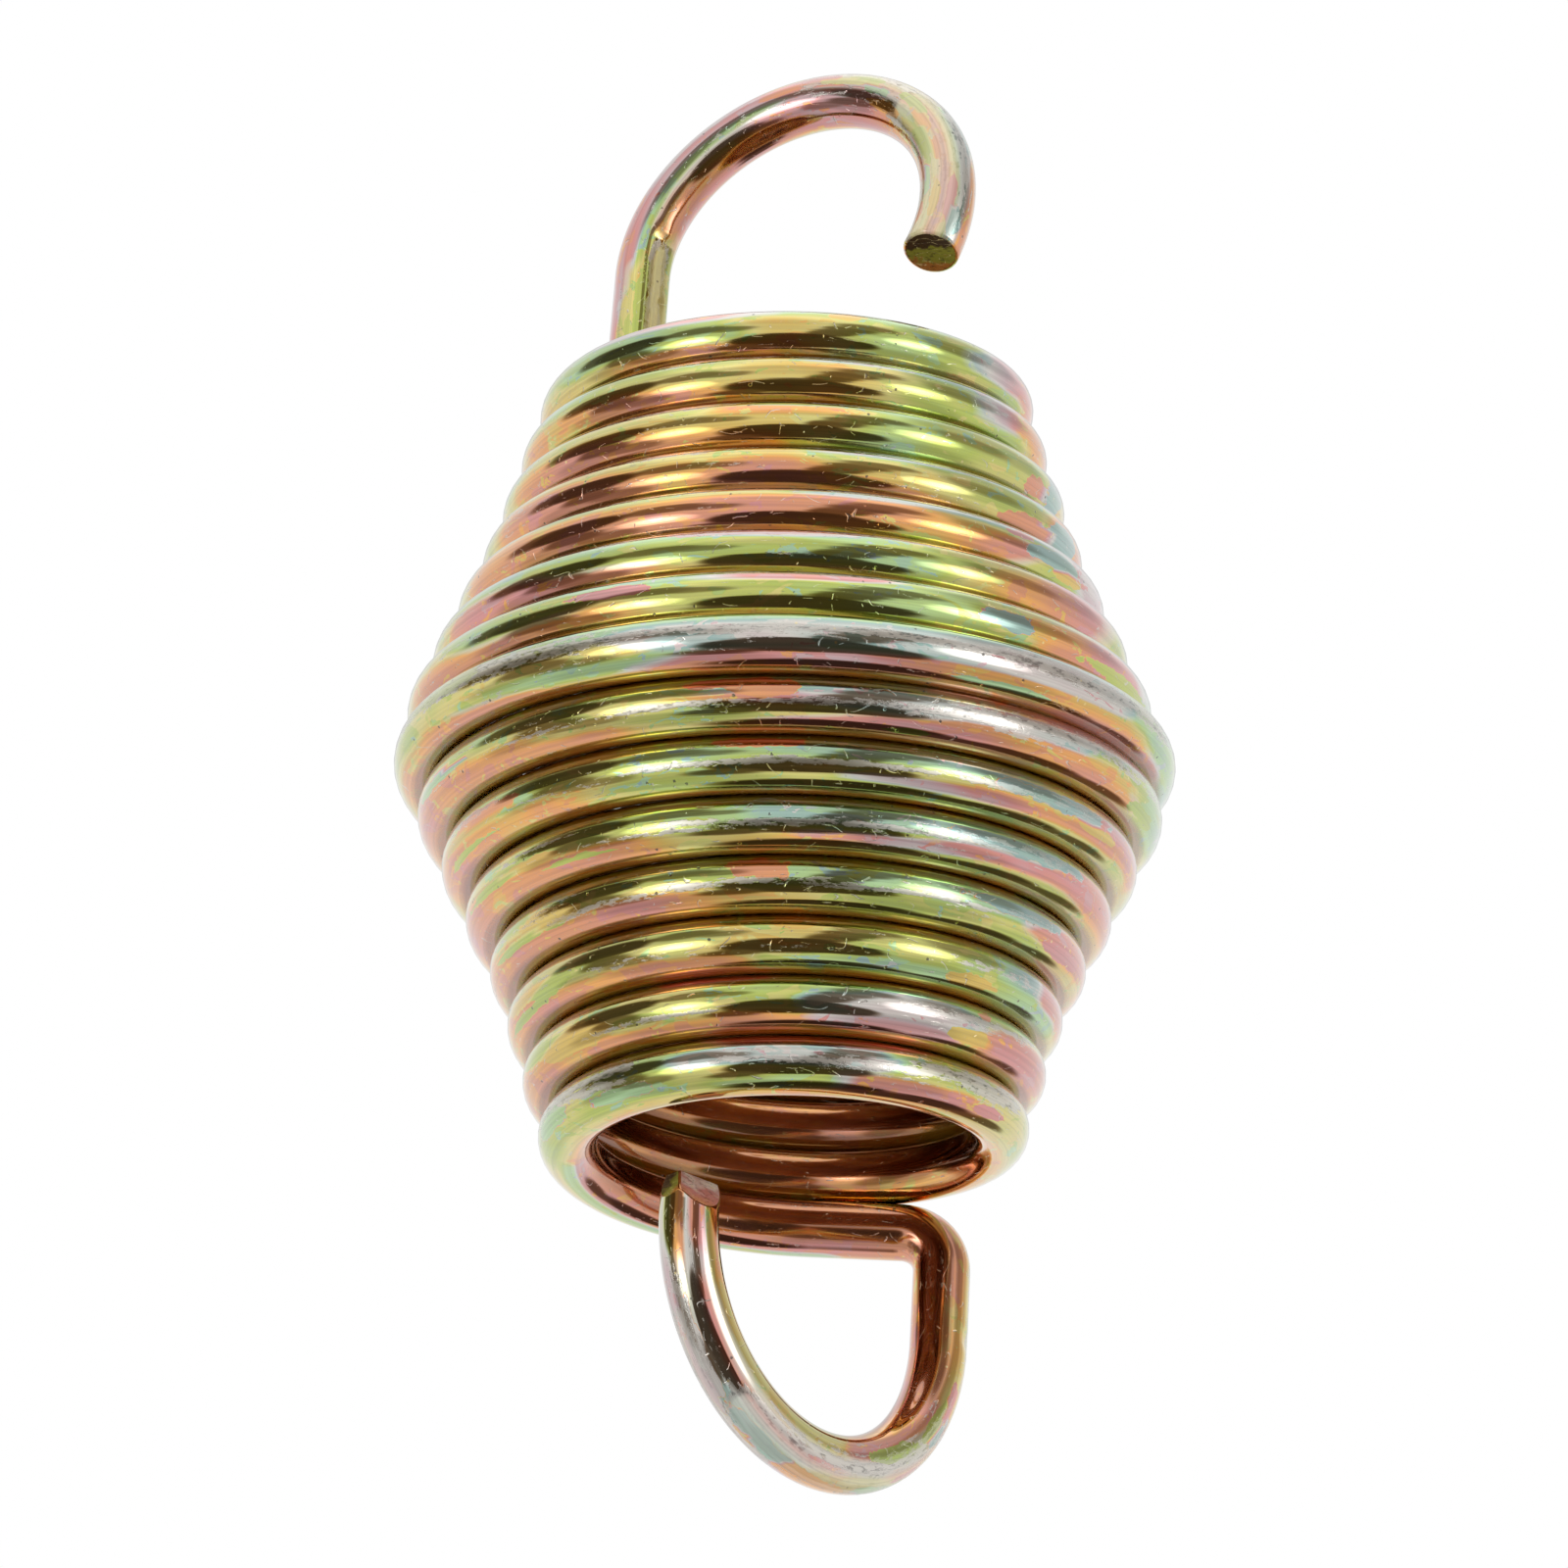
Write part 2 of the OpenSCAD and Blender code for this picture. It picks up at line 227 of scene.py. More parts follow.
# Stains with a torn edge, by turn: middle in parts of a turn to the left of the front, degrees up
# from outward, half the length along the wire in millimetres, half the width in degrees, and the film.
STAINS = {
    0: ((-0.035, 40, 2.5, 14, "gold"),),
    1: ((0.03, 55, 3, 14, "lilac"),),
    2: ((0, 60, 5, 12, "lilac"), (-0.202, 0, 2.6, 45, "teal"), (-0.168, -22, 1.7, 22, "salmon")),
    3: ((-0.145, -26, 3.4, 20, "salmon"), (-0.182, -14, 3.6, 32, "teal"), (0.06, 48, 3, 10, "silver")),
    4: ((-0.15, 5, 3.6, 22, "teal"), (-0.165, -18, 2.4, 12, "gold"), (-0.125, 30, 2, 12, "rose")),
    5: ((0.02, 48, 6, 14, "lilac"), (-0.06, 15, 5, 12, "leaf")),
    6: ((-0.096, 2, 2.6, 22, "teal"), (0.075, 20, 3.5, 14, "rose"), (-0.175, -20, 5, 14, "leaf")),
    7: ((0.17, 20, 5, 20, "leaf"), (-0.09, -50, 4, 8, "mint"), (0.035, -60, 3, 8, "salmon")),
    8: ((0.032, 22, 1.8, 14, "salmon"), (0.01, 16, 2, 24, "salmon"), (0.175, 4, 3, 14, "leaf"),
        (-0.05, -58, 2, 8, "leaf"), (-0.205, -50, 3, 14, "leaf"), (0.192, -14, 5, 9, "mint")),
    9: ((0.012, 26, 3.4, 12, "salmon"), (-0.135, -2, 6.5, 17, "teal"), (0.165, -8, 4, 16, "salmon"),
        (-0.17, -22, 3, 10, "gold"), (0.186, -22, 7, 8, "gold"), (0.2, -50, 6, 7, "leaf")),
    10: ((-0.125, 4, 7, 18, "teal"), (0.14, -22, 4, 12, "gold"), (0.18, -24, 7.5, 8, "leaf"),
        (0.11, -40, 5, 6, "leaf")),
    11: ((0.012, 14, 2.6, 26, "salmon"), (-0.14, 6, 6, 16, "teal"), (0.145, -12, 5, 18, "gold"),
        (-0.19, -35, 4, 16, "rose"), (0.175, -32, 7, 7, "leaf")),
    12: ((0.16, -20, 4, 18, "leaf"), (-0.115, -42, 3, 16, "gold"), (-0.005, 30, 2, 20, "gold"),
        (0.185, -12, 7, 12, "gold"), (0.2, -42, 7, 8, "leaf")),
    13: ((0.15, -18, 6, 26, "gold"), (-0.135, 22, 1.2, 12, "salmon"), (-0.125, -30, 3, 16, "gold"),
        (-0.18, -35, 5, 18, "rose"), (0.1, 40, 4, 12, "leaf"), (0.19, -6, 7, 14, "leaf")),
    14: ((0.115, -34, 4.5, 16, "mint"), (-0.16, -40, 3, 12, "rose"), (0.2, -20, 5, 20, "mint")),
}

# Where handling has scuffed the film down to bare zinc: first and last turn, the place as for the
# runs, and how much is gone. Where it is more than 1 the wire is brushed dull and takes a pale painted
# highlight.
SCUFFS = (
    (0, 0, -0.2, 0.2, 74, 12, 0.6), (1, 6, -0.18, -0.02, 55, 12, 0.9), (1, 6, 0.02, 0.12, 58, 9, 0.6),
    (1, 5, 0.05, 0.08, 50, 14, 0.7), (0, 14, 0.19, 0.25, 10, 25, 0.35),
    (0, 14, -0.25, -0.2, 10, 25, 0.3), (7, 7, 0.09, 0.22, 12, 22, 1), (7, 7, -0.19, -0.09, 12, 22, 1),
    (7, 7, -0.1, 0.1, 12, 14, 0.8), (8, 11, -0.1, 0.05, -14, 9, 0.9), (8, 8, -0.2, -0.08, 8, 16, 0.9),
    (8, 13, 0.05, 0.13, -24, 8, 0.6), (9, 12, -0.16, -0.1, -2, 14, 0.6),
    (8, 12, 0.14, 0.2, 0, 10, 0.55), (13, 13, -0.18, -0.08, 8, 16, 0.7),
    (14, 14, 0.12, 0.22, 12, 28, 1), (14, 14, -0.19, -0.09, 2, 24, 1),
    (14, 14, -0.08, 0.03, 0, 12, 0.8),
)

# The same on the hooks, by millimetres from the tip.
UPPER_HOOK_RUNS = (
    (34, 76, -56, 18, "rose"), (34, 62, -77, 7, "lilac"), (35, 56, -91, 8, "rose"),
    (34, 56, -105, 7, "lilac"), (34, 56, -117, 7, "mint"), (34, 52, -130, 7, "bare"),
    (34, 50, -142, 8, "bare"), (36, 56, -153, 5, "straw"), (53, 60, -92, 12, "rose"),
    (58, 76, -98, 16, "leaf"), (34, 53, -170, 12, "amber"), (34, 53, 160, 14, "rose"),
    (55, 76, -148, 10, "leaf"), (55, 76, -166, 12, "straw"), (53, 76, 165, 20, "leaf"),
    (18, 34, -72, 16, "straw"), (18, 34, -92, 10, "rose"), (18, 34, -108, 8, "bare"),
    (20, 32, -126, 12, "rose"), (22, 31, -122, 8, "lilac"), (20, 36, -145, 16, "rose"),
    (18, 34, 172, 14, "rose"), (18, 34, 145, 12, "gold"), (0, 20, -120, 34, "bare"),
    (0, 20, -112, 26, "straw"), (0, 20, -140, 14, "straw"), (0, 18, -165, 16, "salmon"),
    (0, 18, -80, 14, "rose"), (0, 18, -62, 12, "straw"), (0, 14, -38, 20, "teal"),
    (0, 8, -12, 22, "salmon"),
)
UPPER_HOOK_STAINS = (
    (12, -118, 3, 18, "leaf"), (15, -96, 2.2, 10, "amber"), (20, -128, 2.6, 12, "amber"),
    (22, -100, 2, 10, "mint"), (26, -88, 3.4, 10, "straw"), (30, -76, 3, 12, "rose"),
    (9, -140, 2.2, 12, "salmon"), (17.5, -84, 2.4, 12, "leaf"), (7, -122, 2, 10, "mint"),
    (4.5, -96, 2, 10, "gold"), (5, -62, 2.4, 12, "rose"), (2.5, -40, 1.6, 16, "teal"),
    (10.5, -92, 1.6, 9, "salmon"), (13, -142, 1.6, 9, "mint"), (24, -72, 2, 9, "leaf"),
    (63.5, -168, 9.5, 30, "straw"), (65, -132, 9, 16, "leaf"), (3, -128, 1.6, 10, "salmon"),
    (16, -128, 1.4, 8, "straw"), (33, -92, 2.4, 10, "salmon"),
)
UPPER_HOOK_SCUFFS = (
    (0, 18, -90, 70, 1.5), (20, 30, -84, 34, 1.2), (37, 54, -112, 9, 0.4), (55, 72, -166, 30, 1.2),
)
LOWER_HOOK_RUNS = (
    (-4, 7, 4, 10, "bare"), (-4, 6, 22, 6, "leaf"), (-4, 6, 37, 8, "amber"), (-4, 6, 49, 5, "salmon"),
    # The bare run 62 degrees round, next to the tip, is a painted highlight: pale zinc between darker
    # films.
    (-4, 6, 62, 7, "bare"), (-4, 5, 73, 5, "rose"), (-4, 5, 82, 5, "salmon"), (-4, 7, 94, 8, "lilac"),
    (-4, 8, 107, 5, "straw"), (-4, 8, 116, 6, "amber"), (-4, 8, 131, 8, "rose"),
    (-4, 8, 146, 10, "leaf"), (6, 26, -12, 16, "bare"), (6, 30, -32, 16, "lilac"),
    (7, 20, 34, 16, "bare"), (8, 30, 50, 30, "bare"), (8, 46, 100, 18, "bare"),
    (8, 30, 150, 30, "straw"), (8, 16, 8, 14, "lilac"), (17, 27, 12, 14, "lilac"),
    (10, 30, 78, 10, "rose"), (18, 25, 40, 22, "teal"), (30, 46, 60, 14, "straw"),
    (30, 46, 84, 10, "bare"), (33, 46, 130, 16, "rose"), (26, 34, 24, 20, "amber"),
    (40, 50, 112, 20, "leaf"), (51, 66, 112, 18, "amber"), (44, 64, 88, 12, "straw"),
    (38, 50, 72, 12, "rose"), (44, 104, -165, 45, "salmon"), (64, 92, 104, 18, "gold"),
    (60, 92, 130, 14, "salmon"), (50, 62, 150, 16, "gold"), (66, 104, 78, 12, "rose"),
    (72, 112, -122, 16, "rose"), (76, 112, -98, 12, "mint"),
)
LOWER_HOOK_STAINS = (
    (14, 34, 5, 14, "silver"), (22.8, 36, 3.8, 22, "teal"), (29, 30, 4.4, 24, "amber"),
    (35, 44, 2, 12, "mint"), (38, 118, 4, 16, "leaf"), (70, 118, 3, 16, "mint"),
    (50, 75, 4, 12, "gold"), (16.5, 12, 3.4, 14, "lilac"), (48, 104, 3, 14, "rose"),
    (22, 18, 1.4, 8, "straw"), (40, 60, 2.4, 10, "rose"), (46, 112, 3.6, 14, "leaf"),
    (45, 88, 2, 10, "teal"),
)
LOWER_HOOK_SCUFFS = (
    (9, 24, 22, 22, 0.62), (28, 46, 80, 45, 0.9), (19.5, 44, 56, 42, 1.5), (12, 24, 2, 34, 1.25),
    (44, 62, 88, 18, 0.6),
)

# Painted shade, a copper-brown put over the film: all along the inside of the coil, as share, degrees
# round the wire and spread, and on the hooks, with the ends in millimetres from the tip first.
INSIDE_COPPER_SHADE = (1.0, 180, 40)
UPPER_HOOK_COPPER_SHADE = ((35, 52, -174, 30, 0.9),)
LOWER_HOOK_COPPER_SHADE = ((48, 74, 168, 42, 1.0), (70, 120, 166, 46, 1.0))

# How far past their ends the marks fade: on the coil in parts of a turn, on the hooks and for the
# copper in millimetres. A mark that is fainter than the last number is left out.
TURN_FADE, HOOK_FADE, COPPER_SHADE_FADE, FAINT = 0.018, 1.6, 2.5, 0.01

# Where tools marked the hooks, by millimetres from the tip. The pliers' flat on the upper leg: ends,
# middle in degrees round the wire, and half its width. It is crowned by a share of the round wire's
# crown, and runs out over some millimetres. Dents: place, degrees, radius and depth.
UPPER_HOOK_FLAT = (53, 72, -168, 36)
FLAT_CROWN, FLAT_END = 0.3, 4
UPPER_HOOK_DENTS = ((61.2, -172, 0.5, 0.25), (62.0, -160, 0.4, 0.2), (52.4, -150, 0.7, 0.12))
LOWER_HOOK_DENTS = (
    (55.3, 92, 0.7, 0.22), (79, 172, 0.35, 0.1), (81.5, -176, 0.35, 0.12), (83.5, -168, 0.35, 0.1))

# How the tips were sheared. The upper cut: the way that its face looks. The lower cuts: a point of
# each in millimetres from the tip, and the way that its face looks, both aside, forward and onward
# along the wire, and the number of its finish. The rims are as wide and as high as they say.
UPPER_CUT = (-0.22, -0.33, -0.918)
UPPER_RIM = (0.0003, 0.00022)
LOWER_CUTS = (
    ((-1.42, 0.5, 1.08), (0, 0.12, 1), 1),
    ((0, 0, 0.8), (0.4, 0.809, 0.588), 2),
    ((-2.6, 0, -1), (-0.717, 0.614, 0.33), 1),
)
LOWER_RIM = (0.00014, 0.00005)

# Finishes of the cut faces: how far forward of the middle of the wire the front film starts and the
# back film ends, over what distance they fade, the share of bare metal, and the roughness.
CUT_FINISHES = {
    "sheared steel": (0.0013, -0.0003, 0.0003, 0.1, 0.35),
    "sheared and polished steel": (0.0019, 0.0002, 0.001, 0.12, 0.2),
}
SHARP = 40  # degrees between two faces, past which their edge stays sharp


# The line that the wire follows

def between(x, xs, ys):
    """Value of a table at x, held at both ends."""
    if x <= xs[0]:
        return ys[0]
    for x0, x1, y0, y1 in zip(xs, xs[1:], ys, ys[1:]):
        if x <= x1:
            return y0 + (y1 - y0) * (x - x0) / (x1 - x0)
    return ys[-1]


def barrel(s):
    """Returns a function that gives the middle of the wire at a turn number, and the last turn number."""
    pitch = s.wire_d + s.turn_gap
    diameters = [s.top_d, s.shoulder_d, s.belly_d, s.hip_d, s.bottom_d]
    counts = [s.top_turns, s.shoulder_turns, s.belly_turns, s.hip_turns]
    climbs = [math.sqrt(pitch ** 2 - ((b - a) / 2 / n) ** 2)
              for a, b, n in zip(diameters, diameters[1:], counts)]
    marks, heights = [0.0], [climbs[0] * counts[0] + climbs[1] * counts[1]]
    for climb, count in zip(climbs, counts):
        marks.append(marks[-1] + count)
        heights.append(heights[-1] - climb * count)
    height_marks = [-1.0] + marks + [marks[-1] + 1]
    heights = [heights[0] + climbs[0]] + heights + [heights[-1] - climbs[-1]]
    radii = [d / 2 for d in diameters]
    tuck_from = s.top_lead - s.tuck_turn

    def point(turn):
        tucked = s.tuck * (max(0.0, -turn - tuck_from) / s.tuck_turn) ** 2
        r = between(turn, marks, radii) - tucked
        h = between(turn, height_marks, heights)
        a = math.radians(-90) - 2 * math.pi * turn
        return Vector((r * math.cos(a) - s.side_drift * h,
                       r * math.sin(a) - h * h / 2 / s.bow_r,
                       h + r * math.sin(a) * h / s.bow_r))

    return point, marks[-1]


def arc(start, way, side, r, sweep, step):
    """Points of an arc that starts along way and turns towards side."""
    count = max(2, math.ceil(abs(sweep) * r / step))
    return [start + r * (math.sin(sweep * k / count) * way
                         + (1 - math.cos(sweep * k / count)) * side) for k in range(1, count + 1)]


def straight(start, way, run, step):
    count = max(1, math.ceil(run / step))
    return [start + way * run * k / count for k in range(1, count + 1)]


def bend(start, way, leg_way, r, step):
    side = (leg_way - way * way.dot(leg_way)).normalized()
    return arc(start, way, side, r, math.acos(way.dot(leg_way)), step)


TURN_RINGS = 80  # rings of corners in a turn of the coil
STEP = 0.0005  # from ring to ring on the hooks
SIDES = 40  # corners in a ring
SPARE = 0.0065  # wire past each tip, for the shears to take off


def wire_line(s):
    """Middle of the wire from the upper tip to the lower tip, with the turn number of each point of
    the coil and the place and the way of each tip."""
    point, last_turn = barrel(s)
    start, end = -s.top_lead, last_turn + s.bottom_lead
    first, last = math.ceil(start * TURN_RINGS + 0.5), math.floor(end * TURN_RINGS - 0.5)
    turns = [start] + [k / TURN_RINGS for k in range(first, last + 1)] + [end]
    coil = [point(t) for t in turns]
    nudge = 0.001  # parts of a turn, to see which way the wire runs at its ends
    top_way = (point(start) - point(start + nudge)).normalized()
    bottom_way = (point(end) - point(end - nudge)).normalized()

    def across(way):
        return Vector((math.cos(way), math.sin(way), 0))

    def upright(way, lean):
        return Vector((-math.sin(way) * math.sin(lean), math.cos(way) * math.sin(lean), math.cos(lean)))

    u_across, u_up = across(s.upper_way), upright(s.upper_way, s.upper_lean)
    u_leg = u_up * math.cos(s.upper_tilt) - u_across * math.sin(s.upper_tilt)
    u_turn = u_across * math.cos(s.upper_tilt) + u_up * math.sin(s.upper_tilt)
    upper = bend(coil[0], top_way, u_leg, s.upper_bend_r, STEP)
    upper += straight(upper[-1], u_leg, s.upper_leg, STEP)
    loop_start = upper[-1]
    upper += arc(loop_start, u_leg, u_turn, s.upper_hook_r, s.upper_sweep, STEP)
    u_tip = u_leg * math.cos(s.upper_sweep) + u_turn * math.sin(s.upper_sweep)
    u_centre = loop_start + u_turn * s.upper_hook_r
    seat = u_centre + u_up * (s.upper_hook_r - s.wire_d / 2)

    l_across, l_up = across(s.lower_way), upright(s.lower_way, s.lower_lean)
    l_leg = -l_up * math.cos(s.lower_tilt) - l_across * math.sin(s.lower_tilt)
    l_turn = l_up * math.sin(s.lower_tilt) - l_across * math.cos(s.lower_tilt)
    lower = straight(coil[-1], bottom_way, s.lower_run, STEP)
    lower += bend(lower[-1], bottom_way, l_leg, s.lower_bend_r, STEP)
    lower += straight(lower[-1], l_leg, s.lower_leg, STEP)
    lower += arc(lower[-1], l_leg, l_turn, s.lower_hook_r, s.lower_sweep, STEP)
    l_tip = l_leg * math.cos(s.lower_sweep) + l_turn * math.sin(s.lower_sweep)

    upper_tip, lower_tip = upper[-1], lower[-1]
    spare_upper = straight(upper_tip, u_tip, SPARE, STEP)
    spare_lower = straight(lower_tip, l_tip, SPARE, STEP)
    points = [p - seat for p in [*reversed(upper + spare_upper), *coil, *lower, *spare_lower]]
    coil_first = len(upper) + len(spare_upper)
    return {
        "points": points, "turns": turns, "coil": (coil_first, coil_first + len(coil) - 1),
        "middle": -seat,
        "upper_tip": (upper_tip - seat, u_tip), "lower_tip": (lower_tip - seat, l_tip),
    }


def alone():
    """Deselects everything, outside edit mode."""
    if bpy.context.mode != "OBJECT":
        bpy.ops.object.mode_set(mode="OBJECT")
    bpy.ops.object.select_all(action="DESELECT")


def pick(obj):
    alone()
    obj.select_set(True)
    bpy.context.view_layer.objects.active = obj


def sweep_wire(name, points, r):
    """A round tube along the points, one ring of SIDES corners for each point."""
    curve = bpy.data.curves.new(name, "CURVE")
    curve.dimensions = "3D"
    curve.twist_mode = "MINIMUM"
    curve.bevel_mode = "ROUND"
    curve.bevel_depth = r
    curve.bevel_resolution = (SIDES - 4) // 2
    spline = curve.splines.new("POLY")
    spline.points.add(len(points) - 1)
    for spot, p in zip(spline.points, points):
        spot.co = (*p, 1)
    obj = bpy.data.objects.new(name, curve)
    bpy.context.scene.collection.objects.link(obj)
    pick(obj)
    bpy.ops.object.convert(target="MESH")
    obj = bpy.context.view_layer.objects.active
    if len(obj.data.vertices) != SIDES * len(points):
        raise RuntimeError(f"{name} has {len(obj.data.vertices)} corners, not {SIDES} for each point")
    return obj


def left_at(at, low, high, fade):
    """What is left of a mark at a place: all of it between its ends, and ever less past them."""
    return math.exp(-(max(low - at, at - high, 0) / fade) ** 2)


def film_near(marks, at, fade, share, found):
    """Adds to found the marks that reach a place along the wire, each with its weight there."""
    runs, stains, scuffs = marks
    for low, high, rim, spread, film in runs:
        weight = share * left_at(at, low, high, fade)
        if weight > FAINT:
            full = 0 if film == "bare" else 1
            angle = 2 * math.pi * FILM.get(film, 0)
            found["runs"].append((weight, rim, spread, full * math.cos(angle), full * math.sin(angle)))
    for middle, rim, half, width, film in stains:
        off = (at - middle) / half
        if abs(off) < 2:
            found["stains"].append((off * off, rim, width, FILM[film], share))
    for low, high, rim, spread, gone in scuffs:
        weight = share * gone * left_at(at, low, high, fade)
        if weight > FAINT:
            found["scuffs"].append((weight, rim, spread))


def copper_shade_near(copper, at, found):
    """Adds to found the copper-brown painted shade that reaches a place along a hook."""
    for low, high, rim, spread, share in copper:
        weight = share * left_at(at, low, high, COPPER_SHADE_FADE)
        if weight > FAINT:
            found["copper"].append((weight, rim, spread))


STAIN_ROUND = 2 * math.pi * 25  # millimetres in a turn, for the length of the stains
FRONT_END, FRONT_FADE = 0.29, 0.08  # parts of a turn from the front, where its marks end, and over what
BACK_SUM = 13  # turn of the front and turn of the back that has its marks, added up
UPPER_HOOK_MM, LOWER_HOOK_MM = 90, 110  # wire from end to tip that may have the marks of each hook


def marks_of_turn(turn):
    """The runs, stains and scuffs of one turn. A stain's length is given in parts of a turn."""
    shared = [mark[2:] for mark in SHARED_RUNS if mark[0] <= turn <= mark[1]]
    stains = [(middle, rim, half / STAIN_ROUND, width, film)
              for middle, rim, half, width, film in STAINS.get(turn, ())]
    return ([*FILM_RUNS.get(turn, ()), *shared], stains,
            [mark[2:] for mark in SCUFFS if mark[0] <= turn <= mark[1]])


def marks_along(line, along):
    """For each ring of the wire, the marks that reach it. The back of the coil has the marks of
    the front again, from the bottom turn up."""
    turns, first = line["turns"], line["coil"][0]
    by_turn = {turn: marks_of_turn(turn) for turn in range(-1, 16)}
    rings = []
    for i, way in enumerate(along):
        found = {"runs": [], "stains": [], "scuffs": [], "copper": []}
        if first <= i < first + len(turns):
            turn = turns[i - first]
            front, back = round(turn), round(turn - 0.5)
            share = clamp((FRONT_END - abs(turn - front)) / FRONT_FADE)
            found["copper"].append(INSIDE_COPPER_SHADE)
            if share > 0:
                film_near(by_turn[front], turn - front, TURN_FADE, share, found)
            if share < 1:
                film_near(by_turn[BACK_SUM - back], back - turn + 0.5, TURN_FADE, 1 - share, found)
        upper, lower = (way - SPARE) * 1000, (along[-1] - SPARE - way) * 1000
        if upper < UPPER_HOOK_MM:
            marks = (UPPER_HOOK_RUNS, UPPER_HOOK_STAINS, UPPER_HOOK_SCUFFS)
            film_near(marks, upper, HOOK_FADE, 1, found)
            copper_shade_near(UPPER_HOOK_COPPER_SHADE, upper, found)
        if lower < LOWER_HOOK_MM:
            marks = (LOWER_HOOK_RUNS, LOWER_HOOK_STAINS, LOWER_HOOK_SCUFFS)
            film_near(marks, lower, HOOK_FADE, 1, found)
            copper_shade_near(LOWER_HOOK_COPPER_SHADE, lower, found)
        rings.append(found)
    return rings


# The painted shade in the groove between two turns: how many degrees it reaches up the wire, how many
# more where the turn below lies inboard, the sideways offset of that turn over which this changes,
# and the degrees over which the shade fades.
GROOVE_REACH, INBOARD_REACH, INBOARD_OVER, GROOVE_FADE = 27, 18, 0.003, 24


def grooves_along(line, ways, outs):
    """For each ring of the wire, the angle at which it touches the turn below, and how far round
    the wire the painted shade of that groove reaches, in degrees."""
    points, (first, last) = line["points"], line["coil"]
    grooves = [None] * len(points)
    for i in range(first, last + 1 - TURN_RINGS):
        off = points[i + TURN_RINGS] - points[i]
        across, up = off.dot(outs[i]), off.dot(ways[i].cross(outs[i]))
        inboard = clamp(0.5 - across / INBOARD_OVER)
        grooves[i] = (math.degrees(math.atan2(up, across)), GROOVE_REACH + INBOARD_REACH * inboard)
    return grooves


def clamp(value):
    return min(1, max(0, value))


def between_angles(a, b):
    return (a - b + 180) % 360 - 180


def film_at(found, groove, rim):
    """Film and scuffing, the stain and the painted shade of the groove, and the copper-brown painted
    shade, at an angle round the wire. The film is a direction, and where runs differ it gets short, which
    is thin."""
    angle = 2 * math.pi * between(rim, PLAIN_FILM_AT, PLAIN_FILM)
    total, x, y = 0.1, 0.1 * math.cos(angle), 0.1 * math.sin(angle)
    for weight, middle, spread, cosine, sine in found["runs"]:
        weight *= math.exp(-(between_angles(rim, middle) / spread) ** 2)
        total, x, y = total + weight, x + weight * cosine, y + weight * sine
    gone = 0
    for weight, middle, spread in found["scuffs"]:
        gone = max(gone, weight * math.exp(-(between_angles(rim, middle) / spread) ** 2))
    best, film = 0, 0
    for off, middle, width, value, share in found["stains"]:
        cover = share * (1 - 0.5 * math.sqrt(off + (between_angles(rim, middle) / width) ** 2))
        if cover > best or best == 0 and cover > -1:  # so that a stain has its colour past its edge too
            best, film = max(cover, 0), value
    dark = clamp((groove[1] - abs(between_angles(rim, groove[0]))) / GROOVE_FADE + 0.5) if groove else 0
    copper = 0
    for weight, middle, spread in found["copper"]:
        copper = max(copper, weight * clamp(1.5 - abs(between_angles(rim, middle)) / spread))
    return (x / total, y / total, gone), (film, best, dark), copper


def place_wire(obj, line):
    """Stores on each corner its place on the unrolled wire, which is the way along it and the two
    distances from its middle, outward first, and the film, the stain with the painted shade of the
    groove, and the copper-brown painted shade there. Presses the marks of the tools in, and returns the
    way along the wire for each ring."""
    points, (first, last) = line["points"], line["coil"]
    count = len(points)
    ways = [(points[min(i + 1, count - 1)] - points[max(i - 1, 0)]).normalized() for i in range(count)]
    along = [0.0]
    for a, b in zip(points, points[1:]):
        along.append(along[-1] + (b - a).length)
    outs = [None] * count
    for i in range(first, last + 1):
        away = points[i] - line["middle"]
        away.z = 0
        outs[i] = (away - ways[i] * away.dot(ways[i])).normalized()
    for i in range(first - 1, -1, -1):
        outs[i] = (outs[i + 1] - ways[i] * outs[i + 1].dot(ways[i])).normalized()
    for i in range(last + 1, count):
        outs[i] = (outs[i - 1] - ways[i] * outs[i - 1].dot(ways[i])).normalized()
    # The stain attribute also carries the painted shade of the groove, and copper carries the painted
    # shade inside the coil and on the hooks.
    for name in ("wire_place", "film", "stain"):
        obj.data.attributes.new(name, "FLOAT_VECTOR", "POINT")
    obj.data.attributes.new("copper", "FLOAT", "POINT")
    places, films, spots, inner = (
        obj.data.attributes[name].data for name in ("wire_place", "film", "stain", "copper"))
    rings, grooves = marks_along(line, along), grooves_along(line, ways, outs)
    for v in obj.data.vertices:
        k, i = v.index, v.index // SIDES
        off = v.co - points[i]
        across, up = off.dot(outs[i]), off.dot(ways[i].cross(outs[i]))
        rim = math.degrees(math.atan2(up, across))
        places[k].vector = (along[i], across, up)
        films[k].vector, spots[k].vector, inner[k].value = film_at(rings[i], grooves[i], rim)
        v.co = points[i] + tool_marked(off, rim, along[i] * 1000, along[-1] * 1000)
    return along


def tool_marked(off, rim, mm, total):
    """Where a corner lies off the middle of the wire once the tools have marked it."""
    upper, lower = mm - SPARE * 1000, total - SPARE * 1000 - mm
    low, high, middle, half = UPPER_HOOK_FLAT
    r = off.length
    if low <= upper <= high + FLAT_END:
        reach = math.cos(math.radians(between_angles(rim, middle)))
        limit = math.cos(math.radians(half))
        limit += (1 - limit) * max(0, (upper - high) / FLAT_END)
        if reach > limit:
            off = off * ((limit + FLAT_CROWN * (reach - limit)) / reach)
    for at, dents in ((upper, UPPER_HOOK_DENTS), (lower, LOWER_HOOK_DENTS)):
        for place, angle, radius, depth in dents:
            aside = math.radians(between_angles(rim, angle)) * r * 1000
            gap = math.hypot(at - place, aside) / radius
            if gap < 2:
                off = off * (1 - depth / 1000 / r * math.exp(-gap * gap))
    return off


TINY = 1e-6  # how near two corners are that count as one
